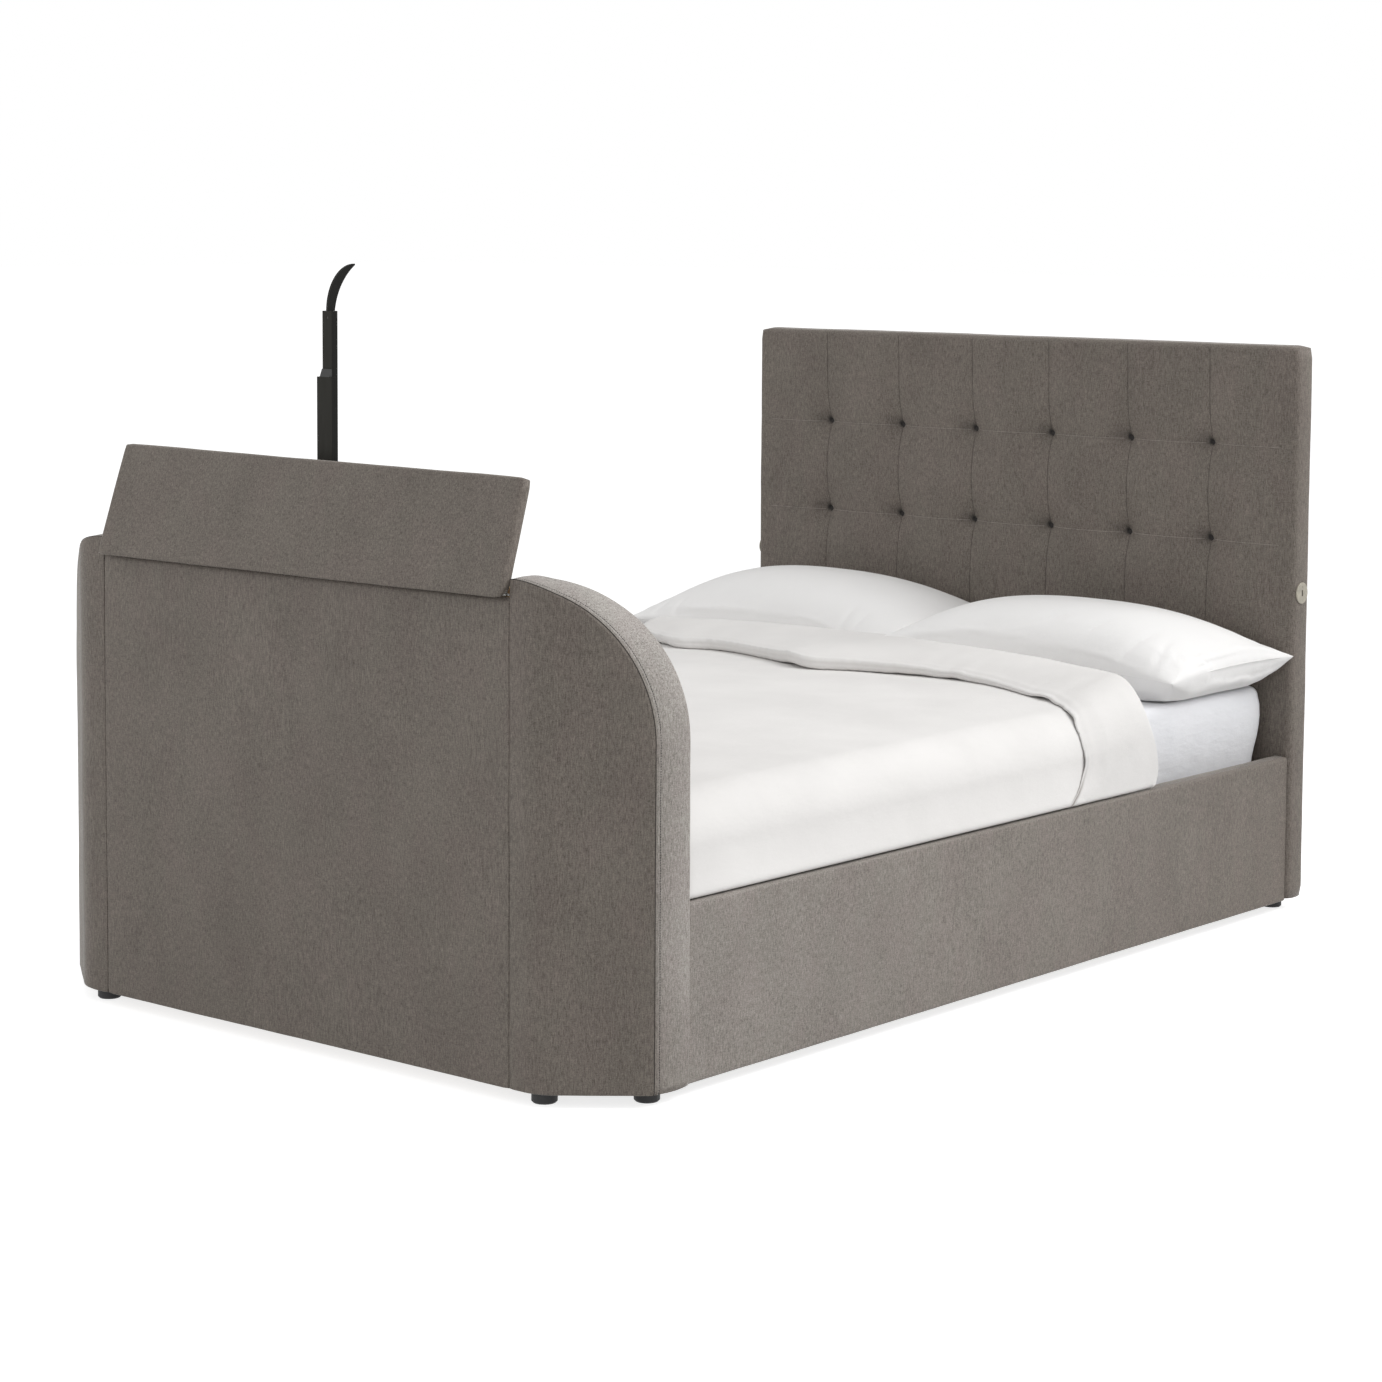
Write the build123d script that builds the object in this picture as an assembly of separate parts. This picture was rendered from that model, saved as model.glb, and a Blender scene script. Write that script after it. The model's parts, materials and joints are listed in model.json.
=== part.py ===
from build123d import *
import math
import os

# An upholstered double bed whose foot end holds a television lift under a hinged lid.
# Lengths are millimetres. While the pieces are made, Y is 0 at the headboard's front face and
# falls toward the foot, and Z is 0 on the floor. The saved pieces are moved along Y, so that
# the origin is the middle of the whole bed on the floor.

# Mattress, which sets the bed's width and length
mattress_width = 1350.0
mattress_length = 1900.0
mattress_thickness = 220.0
mattress_side_gap = 22.0
mattress_head_gap = 20.0
mattress_corner_radius = 40.0
mattress_edge_radius = 24.0

# Bed base
rail_height = 314.0
floor_gap = 22.0
rail_board_thickness = 22.0
rail_pad = 8.0
rail_lining = 3.0
rail_lip = 60.0
rail_edge_radius = 6.0
seat_gap = 0.3

# Slatted base
ledge_width = 40.0
ledge_height = 40.0
ledge_drop = 84.0
slat_count = 14
slat_width = 70.0
slat_thickness = 12.0
slat_end_gap = 6.0
holder_floor = 3.0
holder_wall = 3.0
holder_length = 38.0
holder_fit = 0.4
centre_rail_width = 50.0
centre_rail_height = 60.0
centre_leg_count = 3
centre_leg_radius = 20.0

# Corner brackets and their bolts
bracket_leg = 60.0
bracket_thickness = 4.0
bracket_height = 110.0
bracket_bolt_radius = 4.0
bracket_head_radius = 7.5
bracket_head_height = 5.0
bracket_bolt_length = 16.0

# Headboard
headboard_overhang = 7.5
headboard_height = 1199.0
headboard_thickness = 63.0
headboard_front_pad = 30.0
headboard_side_pad = 25.0
headboard_board_thickness = 18.0
headboard_corner_radius = 14.0
batten_width = 70.0
batten_thickness = 12.0
batten_inset = 177.5
back_cloth_thickness = 3.0
tuft_columns = 6
tuft_side_margin = 213.0
tuft_row_heights = (794.0, 1004.0)
channel_depth = 3.5
tuft_depth = 15.0
tuft_ball_radius = 62.0
row_groove_radius = 42.0
row_groove_depth = 2.5
button_radius = 9.0
button_thickness = 5.0
button_edge = 2.0
headboard_glide_inset = 57.5

# USB ports in the headboard's side faces
port_height = 690.0
port_bezel_radius = 23.0
port_bezel_thickness = 3.0
port_bezel_edge = 1.2
port_barrel_radius = 17.0
port_barrel_depth = 20.0
port_slot_width = 5.6
port_slot_height = 13.2
port_slot_depth = 14.0
port_lamp_radius = 1.6
port_lamp_depth = 1.0
port_lamp_offset = 13.0
port_fit = 0.3

# Foot end
foot_height = 868.0
foot_overhang = 5.0
foot_space = 73.0
wing_width = 216.0
wing_sweep = 153.0
wing_angle = 39.5
wing_bend_radius = 97.0
wing_thickness = 74.0
wing_skin = 12.0
wing_back_radius = 5.0
shoulder_reach = 207.0
shoulder_drop = 275.0
panel_board = 15.0
front_pad = 8.0
front_edge_radius = 7.0
back_pad = 7.0
well_depth = 162.5
foot_floor_thickness = 18.0
foot_floor_rise = 18.0
box_top_drop = 45.0
glide_radius = 22.5
glide_edge = 3.0
outer_glide_inset = 47.0
outer_glide_setback = 162.5
inner_glide_inset = 172.0
inner_glide_setback = 42.5

# Closing boards between the mattress and the foot end
end_board_thickness = 18.0
end_board_gap = 2.0
ledge_board_drop = 9.0

# Lid and its piano hinge
lid_length = 204.0
lid_thickness = 24.0
lid_side_gap = 2.0
lid_board_thickness = 12.0
lid_board_margin = 10.0
lid_edge_radius = 8.0
lid_corner_radius = 6.0
lid_open_angle = 73.2
hinge_setback = 8.5
hinge_drop = 28.5
hinge_pin_radius = 1.25
hinge_pin_fit = 0.1
hinge_knuckle_radius = 3.2
hinge_leaf_thickness = 1.2
hinge_leaf_width = 22.0
hinge_knuckle_count = 21
hinge_knuckle_gap = 1.0
hinge_end_margin = 12.0
hinge_notch_gap = 0.6
glide_strip_width = 50.0
glide_strip_thickness = 4.0
glide_strip_start = 32.0
glide_strip_length = 158.0
buffer_width = 30.0
buffer_start = 128.0
buffer_length = 34.0
buffer_reach = 40.0

# Lift: casing, middle stage and inner stage, each a channel that holds the next one's pad
mast_setback = 74.5
lift_wall = 2.0
slide_gap = 0.3
middle_width = 38.0
middle_depth = 9.6
middle_bottom = 470.0
middle_top = 1204.0
middle_pad_length = 310.0
middle_lip_mouth = 25.2
casing_width = 54.0
casing_depth = 9.7
casing_top_drop = 52.0
casing_lip_mouth = 38.6
inner_width = 24.0
inner_depth = 14.0
inner_bottom = 845.0
inner_top = 1321.0
inner_pad_width = 33.4
inner_pad_length = 355.0
middle_pad_width = 49.4
pad_neck_width = 36.0
middle_travel = 370.0
inner_travel = 370.0
cap_height = 14.0
cap_width = 24.0
cap_tip = 1.5

# Lift fixings, drive and control
fixing_plate_width = 120.0
fixing_plate_thickness = 4.0
fixing_height = 40.0
fixing_lift = 60.0
fixing_top_drop = 80.0
fixing_web_width = 36.0
spindle_x = 52.0
spindle_setback = 72.5
spindle_radius = 6.0
spindle_fit = 0.1
spindle_bottom_rise = 8.0
spindle_top = 560.0
nut_radius = 14.0
nut_height = 30.0
arm_thickness = 8.6
bearing_size = 28.0
bearing_height = 20.0
bearing_top_start = 516.0
gearbox_width = 44.0
gearbox_depth = 40.0
gearbox_height = 40.0
motor_radius = 19.0
motor_length = 120.0
control_box_inset = 219.0
control_box_width = 150.0
control_box_depth = 34.0
control_box_height = 90.0
control_box_bottom = 420.0
control_box_radius = 4.0
gland_radius = 9.0
gland_length = 14.0
gland_bore_radius = 4.0

# Television bracket and lid lifter
bracket_plate_thickness = 3.0
vesa_width = 200.0
vesa_height = 100.0
vesa_centre_height = 990.0
vesa_hole_radius = 3.2
vesa_margin = 12.0
plate_window_width = 58.0
plate_window_height = 76.0
plate_bolt_spacing = 70.0
plate_bolt_radius = 3.0
plate_bolt_head_radius = 5.5
plate_bolt_head_height = 3.5
lifter_thickness = 5.0
lifter_base_width = 17.0
lifter_tang_length = 34.0
lifter_rise = 83.0
lifter_reach = 67.0
lifter_tip = 2.5
lifter_belly = 14.0
lifter_screw_drop = 12.0
lifter_screw_radius = 2.5
lifter_screw_sink = 0.8

# Bedding
duvet_side_thickness = 29.0
duvet_top_thickness = 25.0
duvet_crown = 8.0
duvet_shoulder_radius = 85.0
duvet_clearance = 0.3
flap_thickness = 18.0
flap_side_thickness = 19.0
flap_crown = 5.0
duvet_head_y = -372.0
pillow_sag = 41.0
pillow_edge = 5.0
left_pillow_loft = 152.0
left_pillow_length = 704.0
left_pillow_depth = 308.0
right_pillow_loft = 142.0
right_pillow_length = 732.0
right_pillow_depth = 384.0
pillow_headboard_gap = 14.0
pillow_middle_gap = 3.0

# Shares of a pillow's half length, and at each the share of its half depth and of its loft
pillow_section_shares = (
    (-1.0, 0.95, 0.0),
    (-0.94, 0.93, 0.30),
    (-0.72, 0.92, 0.76),
    (-0.36, 0.91, 0.96),
    (0.0, 0.91, 1.0),
    (0.36, 0.91, 0.96),
    (0.72, 0.92, 0.76),
    (0.94, 0.93, 0.30),
    (1.0, 0.95, 0.0),
)

# The turned-back flap in plan: shares of the flap's half width and of the bed's length
flap_head_shares = (
    (-1.0, 0.196),
    (-0.8, 0.184),
    (-0.45, 0.180),
    (-0.2, 0.182),
    (-0.08, 0.196),
    (0.02, 0.216),
    (0.2, 0.226),
    (0.45, 0.238),
    (0.82, 0.268),
    (1.0, 0.262),
)
flap_hem_shares = (
    (1.0, 0.412),
    (0.77, 0.363),
    (0.64, 0.306),
    (0.23, 0.248),
    (0.06, 0.254),
    (-0.2, 0.292),
    (-0.57, 0.240),
    (-1.0, 0.232),
)

# Places worked out from the sizes above
rail_inner_x = mattress_width / 2 + mattress_side_gap
bed_half_width = rail_inner_x + rail_lining + rail_board_thickness + rail_pad
headboard_half_width = bed_half_width + headboard_overhang
foot_half_width = bed_half_width + foot_overhang
tuft_column_spacing = 2 * (headboard_half_width - tuft_side_margin) / (tuft_columns - 1)
rail_top = floor_gap + rail_height
ledge_top = rail_top - ledge_drop
headboard_top = floor_gap + headboard_height
foot_top = floor_gap + foot_height
mattress_foot_y = -mattress_head_gap - mattress_length
end_board_y = mattress_foot_y - end_board_gap - end_board_thickness
back_cover_y = end_board_y - foot_space
well_back_y = back_cover_y - back_pad - panel_board
well_front_y = well_back_y - well_depth
front_board_y = well_front_y - panel_board
foot_front_y = front_board_y - front_pad
lid_half_opening = foot_half_width - wing_width
wing_corner_x = foot_half_width - wing_sweep
shoulder_start_x = foot_half_width - shoulder_reach
wing_slope = math.tan(math.radians(wing_angle))
wing_end_y = foot_front_y + (foot_half_width - wing_corner_x) * wing_slope
wing_back_y = wing_end_y + wing_thickness / math.cos(math.radians(wing_angle))
wing_inner_y = foot_front_y + wing_thickness
hinge_y = foot_front_y + hinge_setback
hinge_axis_height = foot_top - hinge_drop
casing_top = foot_top - casing_top_drop
hinge_seat_z = hinge_axis_height - hinge_knuckle_radius - seat_gap
lid_underside = hinge_axis_height + hinge_knuckle_radius + seat_gap
box_top = foot_top - box_top_drop
mast_y = foot_front_y + mast_setback
foot_floor_top = floor_gap + foot_floor_rise + foot_floor_thickness
control_box_x = control_box_inset - lid_half_opening
mattress_bottom = ledge_top + holder_floor + slat_thickness
mattress_top = mattress_bottom + mattress_thickness
cut = 10.0 * seat_gap
quarter_turn = 90.0


def block(x0, x1, y0, y1, z0, z1):
    """A box between two values on each axis."""
    size = Box(x1 - x0, y1 - y0, z1 - z0, align=(Align.MIN, Align.MIN, Align.MIN))
    return Pos(x0, y0, z0) * size


def rod(x, y, z0, z1, radius):
    """An upright cylinder."""
    return Pos(x, y, z0) * Cylinder(radius, z1 - z0, align=(Align.CENTER, Align.CENTER, Align.MIN))


def rod_y(x, z, y0, y1, radius):
    """A cylinder along Y."""
    body = Cylinder(radius, y1 - y0, align=(Align.CENTER, Align.CENTER, Align.MIN))
    return Pos(x, y0, z) * Rot(-quarter_turn, 0, 0) * body


def rod_x(y, z, x0, x1, radius):
    """A cylinder along X."""
    body = Cylinder(radius, x1 - x0, align=(Align.CENTER, Align.CENTER, Align.MIN))
    return Pos(x0, y, z) * Rot(0, quarter_turn, 0) * body


def other_side(shape):
    """The same piece on the other side of the bed."""
    return mirror(shape, about=Plane.YZ)


def both_sides(shape):
    """A piece and its mirror image, as separate solids."""
    return group([shape, other_side(shape)])


def group(shapes):
    """Several solids kept apart in one piece."""
    solids = []
    for shape in shapes:
        solids.extend(shape.solids())
    return Compound(children=solids)


def along_x(face, x0, x1):
    """A face drawn in (Y, Z) and pulled along X."""
    return extrude(Plane.YZ.offset(x0) * face, x1 - x0)


def along_y(face, y0, y1):
    """A face drawn in (X, Z) and pulled along Y."""
    return extrude(Plane.XZ.offset(-y1) * face, y1 - y0)


def polygon(*points):
    """A flat face with straight sides."""
    return make_face(Polyline(*points, close=True))


# Headboard
def headboard_plan():
    """The headboard seen from above, with a shallow channel at each column of buttons."""
    half = headboard_half_width
    radius = headboard_corner_radius
    first = -(tuft_columns - 1) / 2 * tuft_column_spacing
    seams = [first + i * tuft_column_spacing for i in range(tuft_columns)]
    stops = [-half + radius, *seams, half - radius]
    depths = [0.0] + [channel_depth] * tuft_columns + [0.0]
    lines = []
    for x0, x1, y0, y1 in zip(stops, stops[1:], depths, depths[1:]):
        crown = (y0 + y1) / 2 - channel_depth
        middle = ((x0 + x1) / 2, max(crown, 0.0))
        bowed = y0 + y1 > 0
        lines.append(ThreePointArc((x0, y0), middle, (x1, y1)) if bowed else Line((x0, y0), (x1, y1)))
    lines.append(RadiusArc((half - radius, 0), (half, radius), -radius))
    back = headboard_thickness
    lines.append(Polyline((half, radius), (half, back), (-half, back), (-half, radius)))
    lines.append(RadiusArc((-half, radius), (-half + radius, 0), -radius))
    return make_face(lines)


def headboard_side():
    """The headboard seen from the side, with its top edges rounded."""
    shape = polygon(
        (0, floor_gap),
        (headboard_thickness, floor_gap),
        (headboard_thickness, headboard_top),
        (0, headboard_top),
    )
    return fillet(shape.vertices().group_by(Axis.Y)[-1], headboard_corner_radius)


def tuft_places():
    """The (X, Z) place of each button."""
    first = -(tuft_columns - 1) / 2 * tuft_column_spacing
    return [(first + i * tuft_column_spacing, z) for z in tuft_row_heights for i in range(tuft_columns)]


def headboard_cover():
    """Padded cover, tufted at the buttons, that wraps the board's front, sides and top."""
    half = headboard_half_width
    cover = Pos(0, 0, floor_gap) * extrude(headboard_plan(), headboard_height)
    cover &= along_x(headboard_side(), -half, half)
    for x, z in tuft_places():
        cover -= Pos(x, tuft_depth - tuft_ball_radius, z) * Sphere(tuft_ball_radius)
    for z in tuft_row_heights:
        y = row_groove_depth - row_groove_radius
        cover -= rod_x(y, z, -half - cut, half + cut, row_groove_radius)
    recess_half = half - headboard_side_pad
    cover -= block(
        -recess_half,
        recess_half,
        headboard_front_pad,
        headboard_thickness + cut,
        floor_gap - cut,
        headboard_top - headboard_side_pad,
    )
    inner_end = half - headboard_side_pad - cut
    bore = port_barrel_radius + port_fit
    socket = rod_x(headboard_thickness / 2, port_height, inner_end, half + cut, bore)
    cover -= socket
    cover -= other_side(socket)
    return cover


def headboard_board():
    """Board inside the headboard."""
    half = headboard_half_width - headboard_side_pad
    return block(
        -half,
        half,
        headboard_front_pad,
        headboard_front_pad + headboard_board_thickness,
        floor_gap,
        headboard_top - headboard_side_pad,
    )


def headboard_battens():
    """Upright timbers behind the board."""
    y0 = headboard_front_pad + headboard_board_thickness
    top = headboard_top - headboard_side_pad
    outer = headboard_half_width - batten_inset
    places = (-outer, 0.0, outer)
    return group(
        block(x - batten_width / 2, x + batten_width / 2, y0, y0 + batten_thickness, floor_gap, top)
        for x in places
    )


def headboard_back_cloth():
    """Thin cloth panel that closes the headboard's back."""
    half = headboard_half_width - headboard_side_pad
    y0 = headboard_thickness - back_cloth_thickness
    return block(-half, half, y0, headboard_thickness, floor_gap, headboard_top - headboard_side_pad)


def headboard_buttons():
    """Covered buttons, one in each tuft."""
    seat = tuft_depth - tuft_ball_radius + math.sqrt(tuft_ball_radius**2 - button_radius**2)
    buttons = []
    for x, z in tuft_places():
        button = rod_y(x, z, seat - button_thickness, seat, button_radius)
        rim = button.edges().group_by(Axis.Y)[0]
        buttons.append(fillet(rim, button_edge))
    return group(buttons)


def usb_port():
    """Charging port in the headboard's right side face: a round bezel on a barrel."""
    half = headboard_half_width
    y = headboard_thickness / 2
    bezel = rod_x(y, port_height, half, half + port_bezel_thickness, port_bezel_radius)
    bezel = fillet(bezel.edges().group_by(Axis.X)[-1], port_bezel_edge)
    port = bezel + rod_x(y, port_height, half - port_barrel_depth, half, port_barrel_radius)
    face = half + port_bezel_thickness
    port -= block(
        face - port_slot_depth,
        face + cut,
        y - port_slot_width / 2,
        y + port_slot_width / 2,
        port_height - port_slot_height / 2,
        port_height + port_slot_height / 2,
    )
    port -= rod_x(y, port_height + port_lamp_offset, face - port_lamp_depth, face + cut, port_lamp_radius)
    return port


def glide(x, y):
    """Round plastic foot under the frame."""
    foot = rod(x, y, 0, floor_gap, glide_radius)
    return chamfer(foot.edges().group_by(Axis.Z)[0], glide_edge)


def headboard_glides():
    """The two feet under the headboard."""
    return both_sides(glide(headboard_half_width - headboard_glide_inset, headboard_thickness / 2))


# Side rails and slatted base
def side_rail_cover():
    """Padded cover of the right side rail, wrapped round its board."""
    outer = bed_half_width
    board_outer = outer - rail_pad
    board_inner = board_outer - rail_board_thickness
    shape = polygon(
        (outer, floor_gap),
        (outer, rail_top),
        (rail_inner_x, rail_top),
        (rail_inner_x, rail_top - rail_lip),
        (board_inner, rail_top - rail_lip),
        (board_inner, rail_top - rail_pad),
        (board_outer, rail_top - rail_pad),
        (board_outer, floor_gap + rail_lining),
        (board_inner, floor_gap + rail_lining),
        (board_inner, floor_gap),
    )
    corners = shape.vertices().group_by(Axis.Y)[-1].sort_by(Axis.X)
    shape = fillet(corners[-1], rail_edge_radius)
    return along_y(shape, wing_end_y, 0) - wing_space()


def side_rail_board():
    """Board inside the right side rail."""
    outer = bed_half_width - rail_pad
    inner = outer - rail_board_thickness
    board = block(inner, outer, wing_end_y, 0, floor_gap + rail_lining, rail_top - rail_pad)
    return board - wing_space()


def slat_ledge():
    """Timber ledge on the inside of the right rail that carries the slats."""
    outer = rail_inner_x + rail_lining
    y0 = end_board_y + end_board_thickness
    return block(outer - ledge_width, outer, y0, 0, ledge_top - ledge_height, ledge_top)


def slat_rows():
    """The Y place of each slat's middle."""
    span = mattress_length - slat_width - slat_end_gap
    pitch = span / (slat_count - 1)
    first = -mattress_head_gap - (slat_width + slat_end_gap) / 2
    return [first - i * pitch for i in range(slat_count)]


def slats():
    """Slats in two rows that meet over the centre rail."""
    outer = rail_inner_x + rail_lining - ledge_width + holder_length - holder_wall - holder_fit
    inner = slat_end_gap / 2 + holder_wall + holder_fit
    z0 = ledge_top + holder_floor
    rows = [
        block(inner, outer, y - slat_width / 2, y + slat_width / 2, z0, z0 + slat_thickness)
        for y in slat_rows()
    ]
    return group(rows + [other_side(row) for row in rows])


def slat_holder(x0, x1, y, wall_on_right):
    """Open-topped plastic holder for one slat's end."""
    half = slat_width / 2 + holder_fit + holder_wall
    z0 = ledge_top
    z1 = ledge_top + holder_floor + slat_thickness
    holder = block(x0, x1, y - half, y + half, z0, z1)
    slot_x0 = x0 - cut if wall_on_right else x0 + holder_wall
    slot_x1 = x1 - holder_wall if wall_on_right else x1 + cut
    slot_half = half - holder_wall
    return holder - block(slot_x0, slot_x1, y - slot_half, y + slot_half, z0 + holder_floor, z1 + cut)


def slat_holders():
    """Holders on both ledges and on the centre rail."""
    ledge_x0 = rail_inner_x + rail_lining - ledge_width
    holders = []
    for y in slat_rows():
        holders.append(slat_holder(ledge_x0, ledge_x0 + holder_length, y, True))
        holders.append(slat_holder(slat_end_gap / 2, centre_rail_width / 2, y, False))
    return group(holders + [other_side(holder) for holder in holders])


def centre_rail():
    """Timber rail down the middle, under the slats' inner ends."""
    half = centre_rail_width / 2
    y0 = end_board_y + end_board_thickness
    return block(-half, half, y0, 0, ledge_top - centre_rail_height, ledge_top)


def centre_legs():
    """Round legs from the centre rail to the floor."""
    pitch = mattress_length / (centre_leg_count + 1)
    places = [-mattress_head_gap - pitch * (i + 1) for i in range(centre_leg_count)]
    top = ledge_top - centre_rail_height
    return group(
        chamfer(rod(0, y, 0, top, centre_leg_radius).edges().group_by(Axis.Z)[0], glide_edge) for y in places
    )


def corner_bracket(y_seat, toward):
    """Steel angle on the right rail's inside; its other leg lies on a face across the bed."""
    x1 = rail_inner_x + rail_lining
    z0 = ledge_top - ledge_height - bracket_height
    y_leg = y_seat + toward * bracket_leg
    y_thin = y_seat + toward * bracket_thickness
    leg = block(x1 - bracket_thickness, x1, min(y_seat, y_leg), max(y_seat, y_leg), z0, z0 + bracket_height)
    flat = block(x1 - bracket_leg, x1, min(y_seat, y_thin), max(y_seat, y_thin), z0, z0 + bracket_height)
    return leg + flat


def corner_bolt_heads(y_seat, toward):
    """Domed bolt heads on the bracket's rail leg, at the right rail."""
    x1 = rail_inner_x + rail_lining - bracket_thickness
    z0 = ledge_top - ledge_height - bracket_height
    y = y_seat + toward * (bracket_leg + bracket_thickness) / 2
    heads = []
    for share in (1, 3):
        z = z0 + bracket_height * share / 4
        heads.append(rod_x(y, z, x1 - bracket_head_height, x1, bracket_head_radius))
    return heads


def corner_brackets():
    """The four brackets that hold the rails to the headboard and to the foot end."""
    seats = ((0.0, -1), (end_board_y + end_board_thickness, 1))
    right = [corner_bracket(y, toward) for y, toward in seats]
    return group(right + [other_side(bracket) for bracket in right])


def corner_bolts():
    """Bolt heads of the corner brackets."""
    seats = ((0.0, -1), (end_board_y + end_board_thickness, 1))
    right = [head for y, toward in seats for head in corner_bolt_heads(y, toward)]
    return group(right + [other_side(head) for head in right])


# Foot end
def wing_path(depth, reach):
    """Corner points in plan of the right wing's face, set in by a depth and run on past its end."""
    angle = math.radians(wing_angle)
    shift = depth * math.tan(angle / 2)
    corner = (wing_corner_x - shift, foot_front_y + depth)
    end = (foot_half_width + reach, corner[1] + (foot_half_width + reach - corner[0]) * wing_slope)
    return (lid_half_opening, corner[1]), corner, end


def wing_plan(front, back, side, back_radius):
    """Plan of the right wing between two depths, cut off at its side face."""
    radius_out = wing_bend_radius - front
    radius_in = wing_bend_radius - back
    reach = wing_thickness
    outer = FilletPolyline(*wing_path(front, reach), radius=radius_out)
    inner = FilletPolyline(*wing_path(back, reach), radius=radius_in)
    ends = [Line(outer @ 0, inner @ 0), Line(outer @ 1, inner @ 1)]
    strip = make_face([outer, inner, *ends])
    limit = foot_half_width - side
    keep = polygon(
        (lid_half_opening - cut, foot_front_y - cut),
        (limit, foot_front_y - cut),
        (limit, wing_back_y + wing_thickness),
        (lid_half_opening - cut, wing_back_y + wing_thickness),
    )
    plan = strip & keep
    tip = plan.vertices().sort_by(Axis.Y)[-1]
    return fillet(tip, back_radius)


def shoulder_face(side):
    """The right wing seen from the front: level at first, then a quarter ellipse down to its side."""
    limit = foot_half_width - side
    top = foot_top - side
    low = foot_top - shoulder_drop
    curve = EllipticalCenterArc(
        (shoulder_start_x, low),
        limit - shoulder_start_x,
        top - low,
        arc_size=quarter_turn,
    )
    rest = Polyline(
        (shoulder_start_x, top),
        (lid_half_opening - cut, top),
        (lid_half_opening - cut, floor_gap),
        (limit, floor_gap),
        (limit, low),
    )
    return make_face([curve, rest])


def wing_solid(front, back, side, back_radius):
    """The right wing between two depths, under its shoulder curve."""
    plan = wing_plan(front, back, side, back_radius)
    body = Pos(0, 0, floor_gap) * extrude(plan, foot_height)
    return body & along_y(shoulder_face(side), foot_front_y - cut, wing_back_y + wing_thickness)


def wing_space():
    """Upright space that the right wing takes up, with the clearance behind it."""
    plan = wing_plan(0.0, wing_thickness + seat_gap, 0.0, wing_back_radius)
    return Pos(0, 0, -cut) * extrude(plan, foot_top + cut + cut)


def wing_core():
    """Bent timber core of the right wing."""
    inner_radius = wing_back_radius - seat_gap
    return wing_solid(wing_skin, wing_thickness - wing_skin, wing_skin, inner_radius)


def wing_cover():
    """Padded cover of the right wing: face, border strip over the shoulder, and back."""
    return wing_solid(0.0, wing_thickness, 0.0, wing_back_radius) - wing_core()


def foot_front_board():
    """Board across the middle of the foot end's front, which carries the hinge."""
    return block(-lid_half_opening, lid_half_opening, front_board_y, well_front_y, floor_gap, hinge_seat_z)


def foot_front_cover():
    """Padded cover over the front board."""
    shape = polygon(
        (foot_front_y, floor_gap),
        (front_board_y, floor_gap),
        (front_board_y, hinge_seat_z),
        (foot_front_y, hinge_seat_z),
    )
    corner = shape.vertices().group_by(Axis.Y)[-1].sort_by(Axis.X)[0]
    shape = fillet(corner, front_edge_radius)
    return along_x(shape, -lid_half_opening, lid_half_opening)


def foot_back_board():
    """Board behind the television well, on the bed's side."""
    z0 = floor_gap + foot_floor_rise
    return block(-lid_half_opening, lid_half_opening, well_back_y, well_back_y + panel_board, z0, box_top)


def foot_side_board():
    """Board that closes the right end of the television well behind the wing."""
    z0 = floor_gap + foot_floor_rise
    x0 = lid_half_opening
    return block(x0, x0 + panel_board, wing_inner_y, well_back_y + panel_board, z0, box_top)


def foot_back_cover():
    """Cover of the foot end on the bed's side, wrapped round both side boards."""
    half = lid_half_opening + panel_board
    outer_half = half + back_pad
    y_board = well_back_y + panel_board
    z0 = floor_gap + foot_floor_rise
    cover = block(-outer_half, outer_half, wing_inner_y, back_cover_y, z0, box_top)
    return cover - block(-half, half, wing_inner_y - cut, y_board, z0 - cut, box_top + cut)


def foot_floor_board():
    """Floor of the television well."""
    z0 = floor_gap + foot_floor_rise
    return block(-lid_half_opening, lid_half_opening, well_front_y, well_back_y, z0, foot_floor_top)


def mattress_stop():
    """Boards that stop the mattress and close the space up to the foot end."""
    half = mattress_width / 2 - ledge_board_drop
    between_rails = rail_inner_x - seat_gap
    top = mattress_top - ledge_board_drop
    y1 = end_board_y + end_board_thickness
    low = floor_gap + foot_floor_rise
    upright = block(-between_rails, between_rails, end_board_y, y1, low, rail_top)
    upright += block(-half, half, end_board_y, y1, rail_top, top - end_board_thickness)
    shelf = block(
        -half,
        half,
        wing_inner_y + seat_gap,
        y1,
        top - end_board_thickness,
        top,
    )
    box_half = lid_half_opening + panel_board + back_pad
    shelf -= block(-box_half, box_half, wing_inner_y, back_cover_y, top - foot_height, top + cut)
    wing = wing_space()
    shelf = (shelf - wing - other_side(wing)).solids().sort_by(SortBy.VOLUME)[-1]
    return group([upright, shelf])


def foot_glides():
    """The feet under both wings."""
    right = [
        glide(foot_half_width - inner_glide_inset, foot_front_y + inner_glide_setback),
        glide(foot_half_width - outer_glide_inset, foot_front_y + outer_glide_setback),
    ]
    return group(right + [other_side(foot) for foot in right])


# Lid, made closed and then turned open about its hinge
def opened(shape):
    """A piece of the closed lid, turned to where the lid stands open."""
    turned = Rot(lid_open_angle, 0, 0) * Pos(0, -hinge_y, -hinge_axis_height) * shape
    return Pos(0, hinge_y, hinge_axis_height) * turned


def lid_board_block(margin):
    """The lid board's block, closed, set in from the lid's edges by a margin."""
    half = lid_half_opening - lid_side_gap - margin
    return block(
        -half,
        half,
        hinge_y + margin,
        hinge_y + lid_length - margin,
        lid_underside,
        lid_underside + lid_board_thickness,
    )


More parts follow.
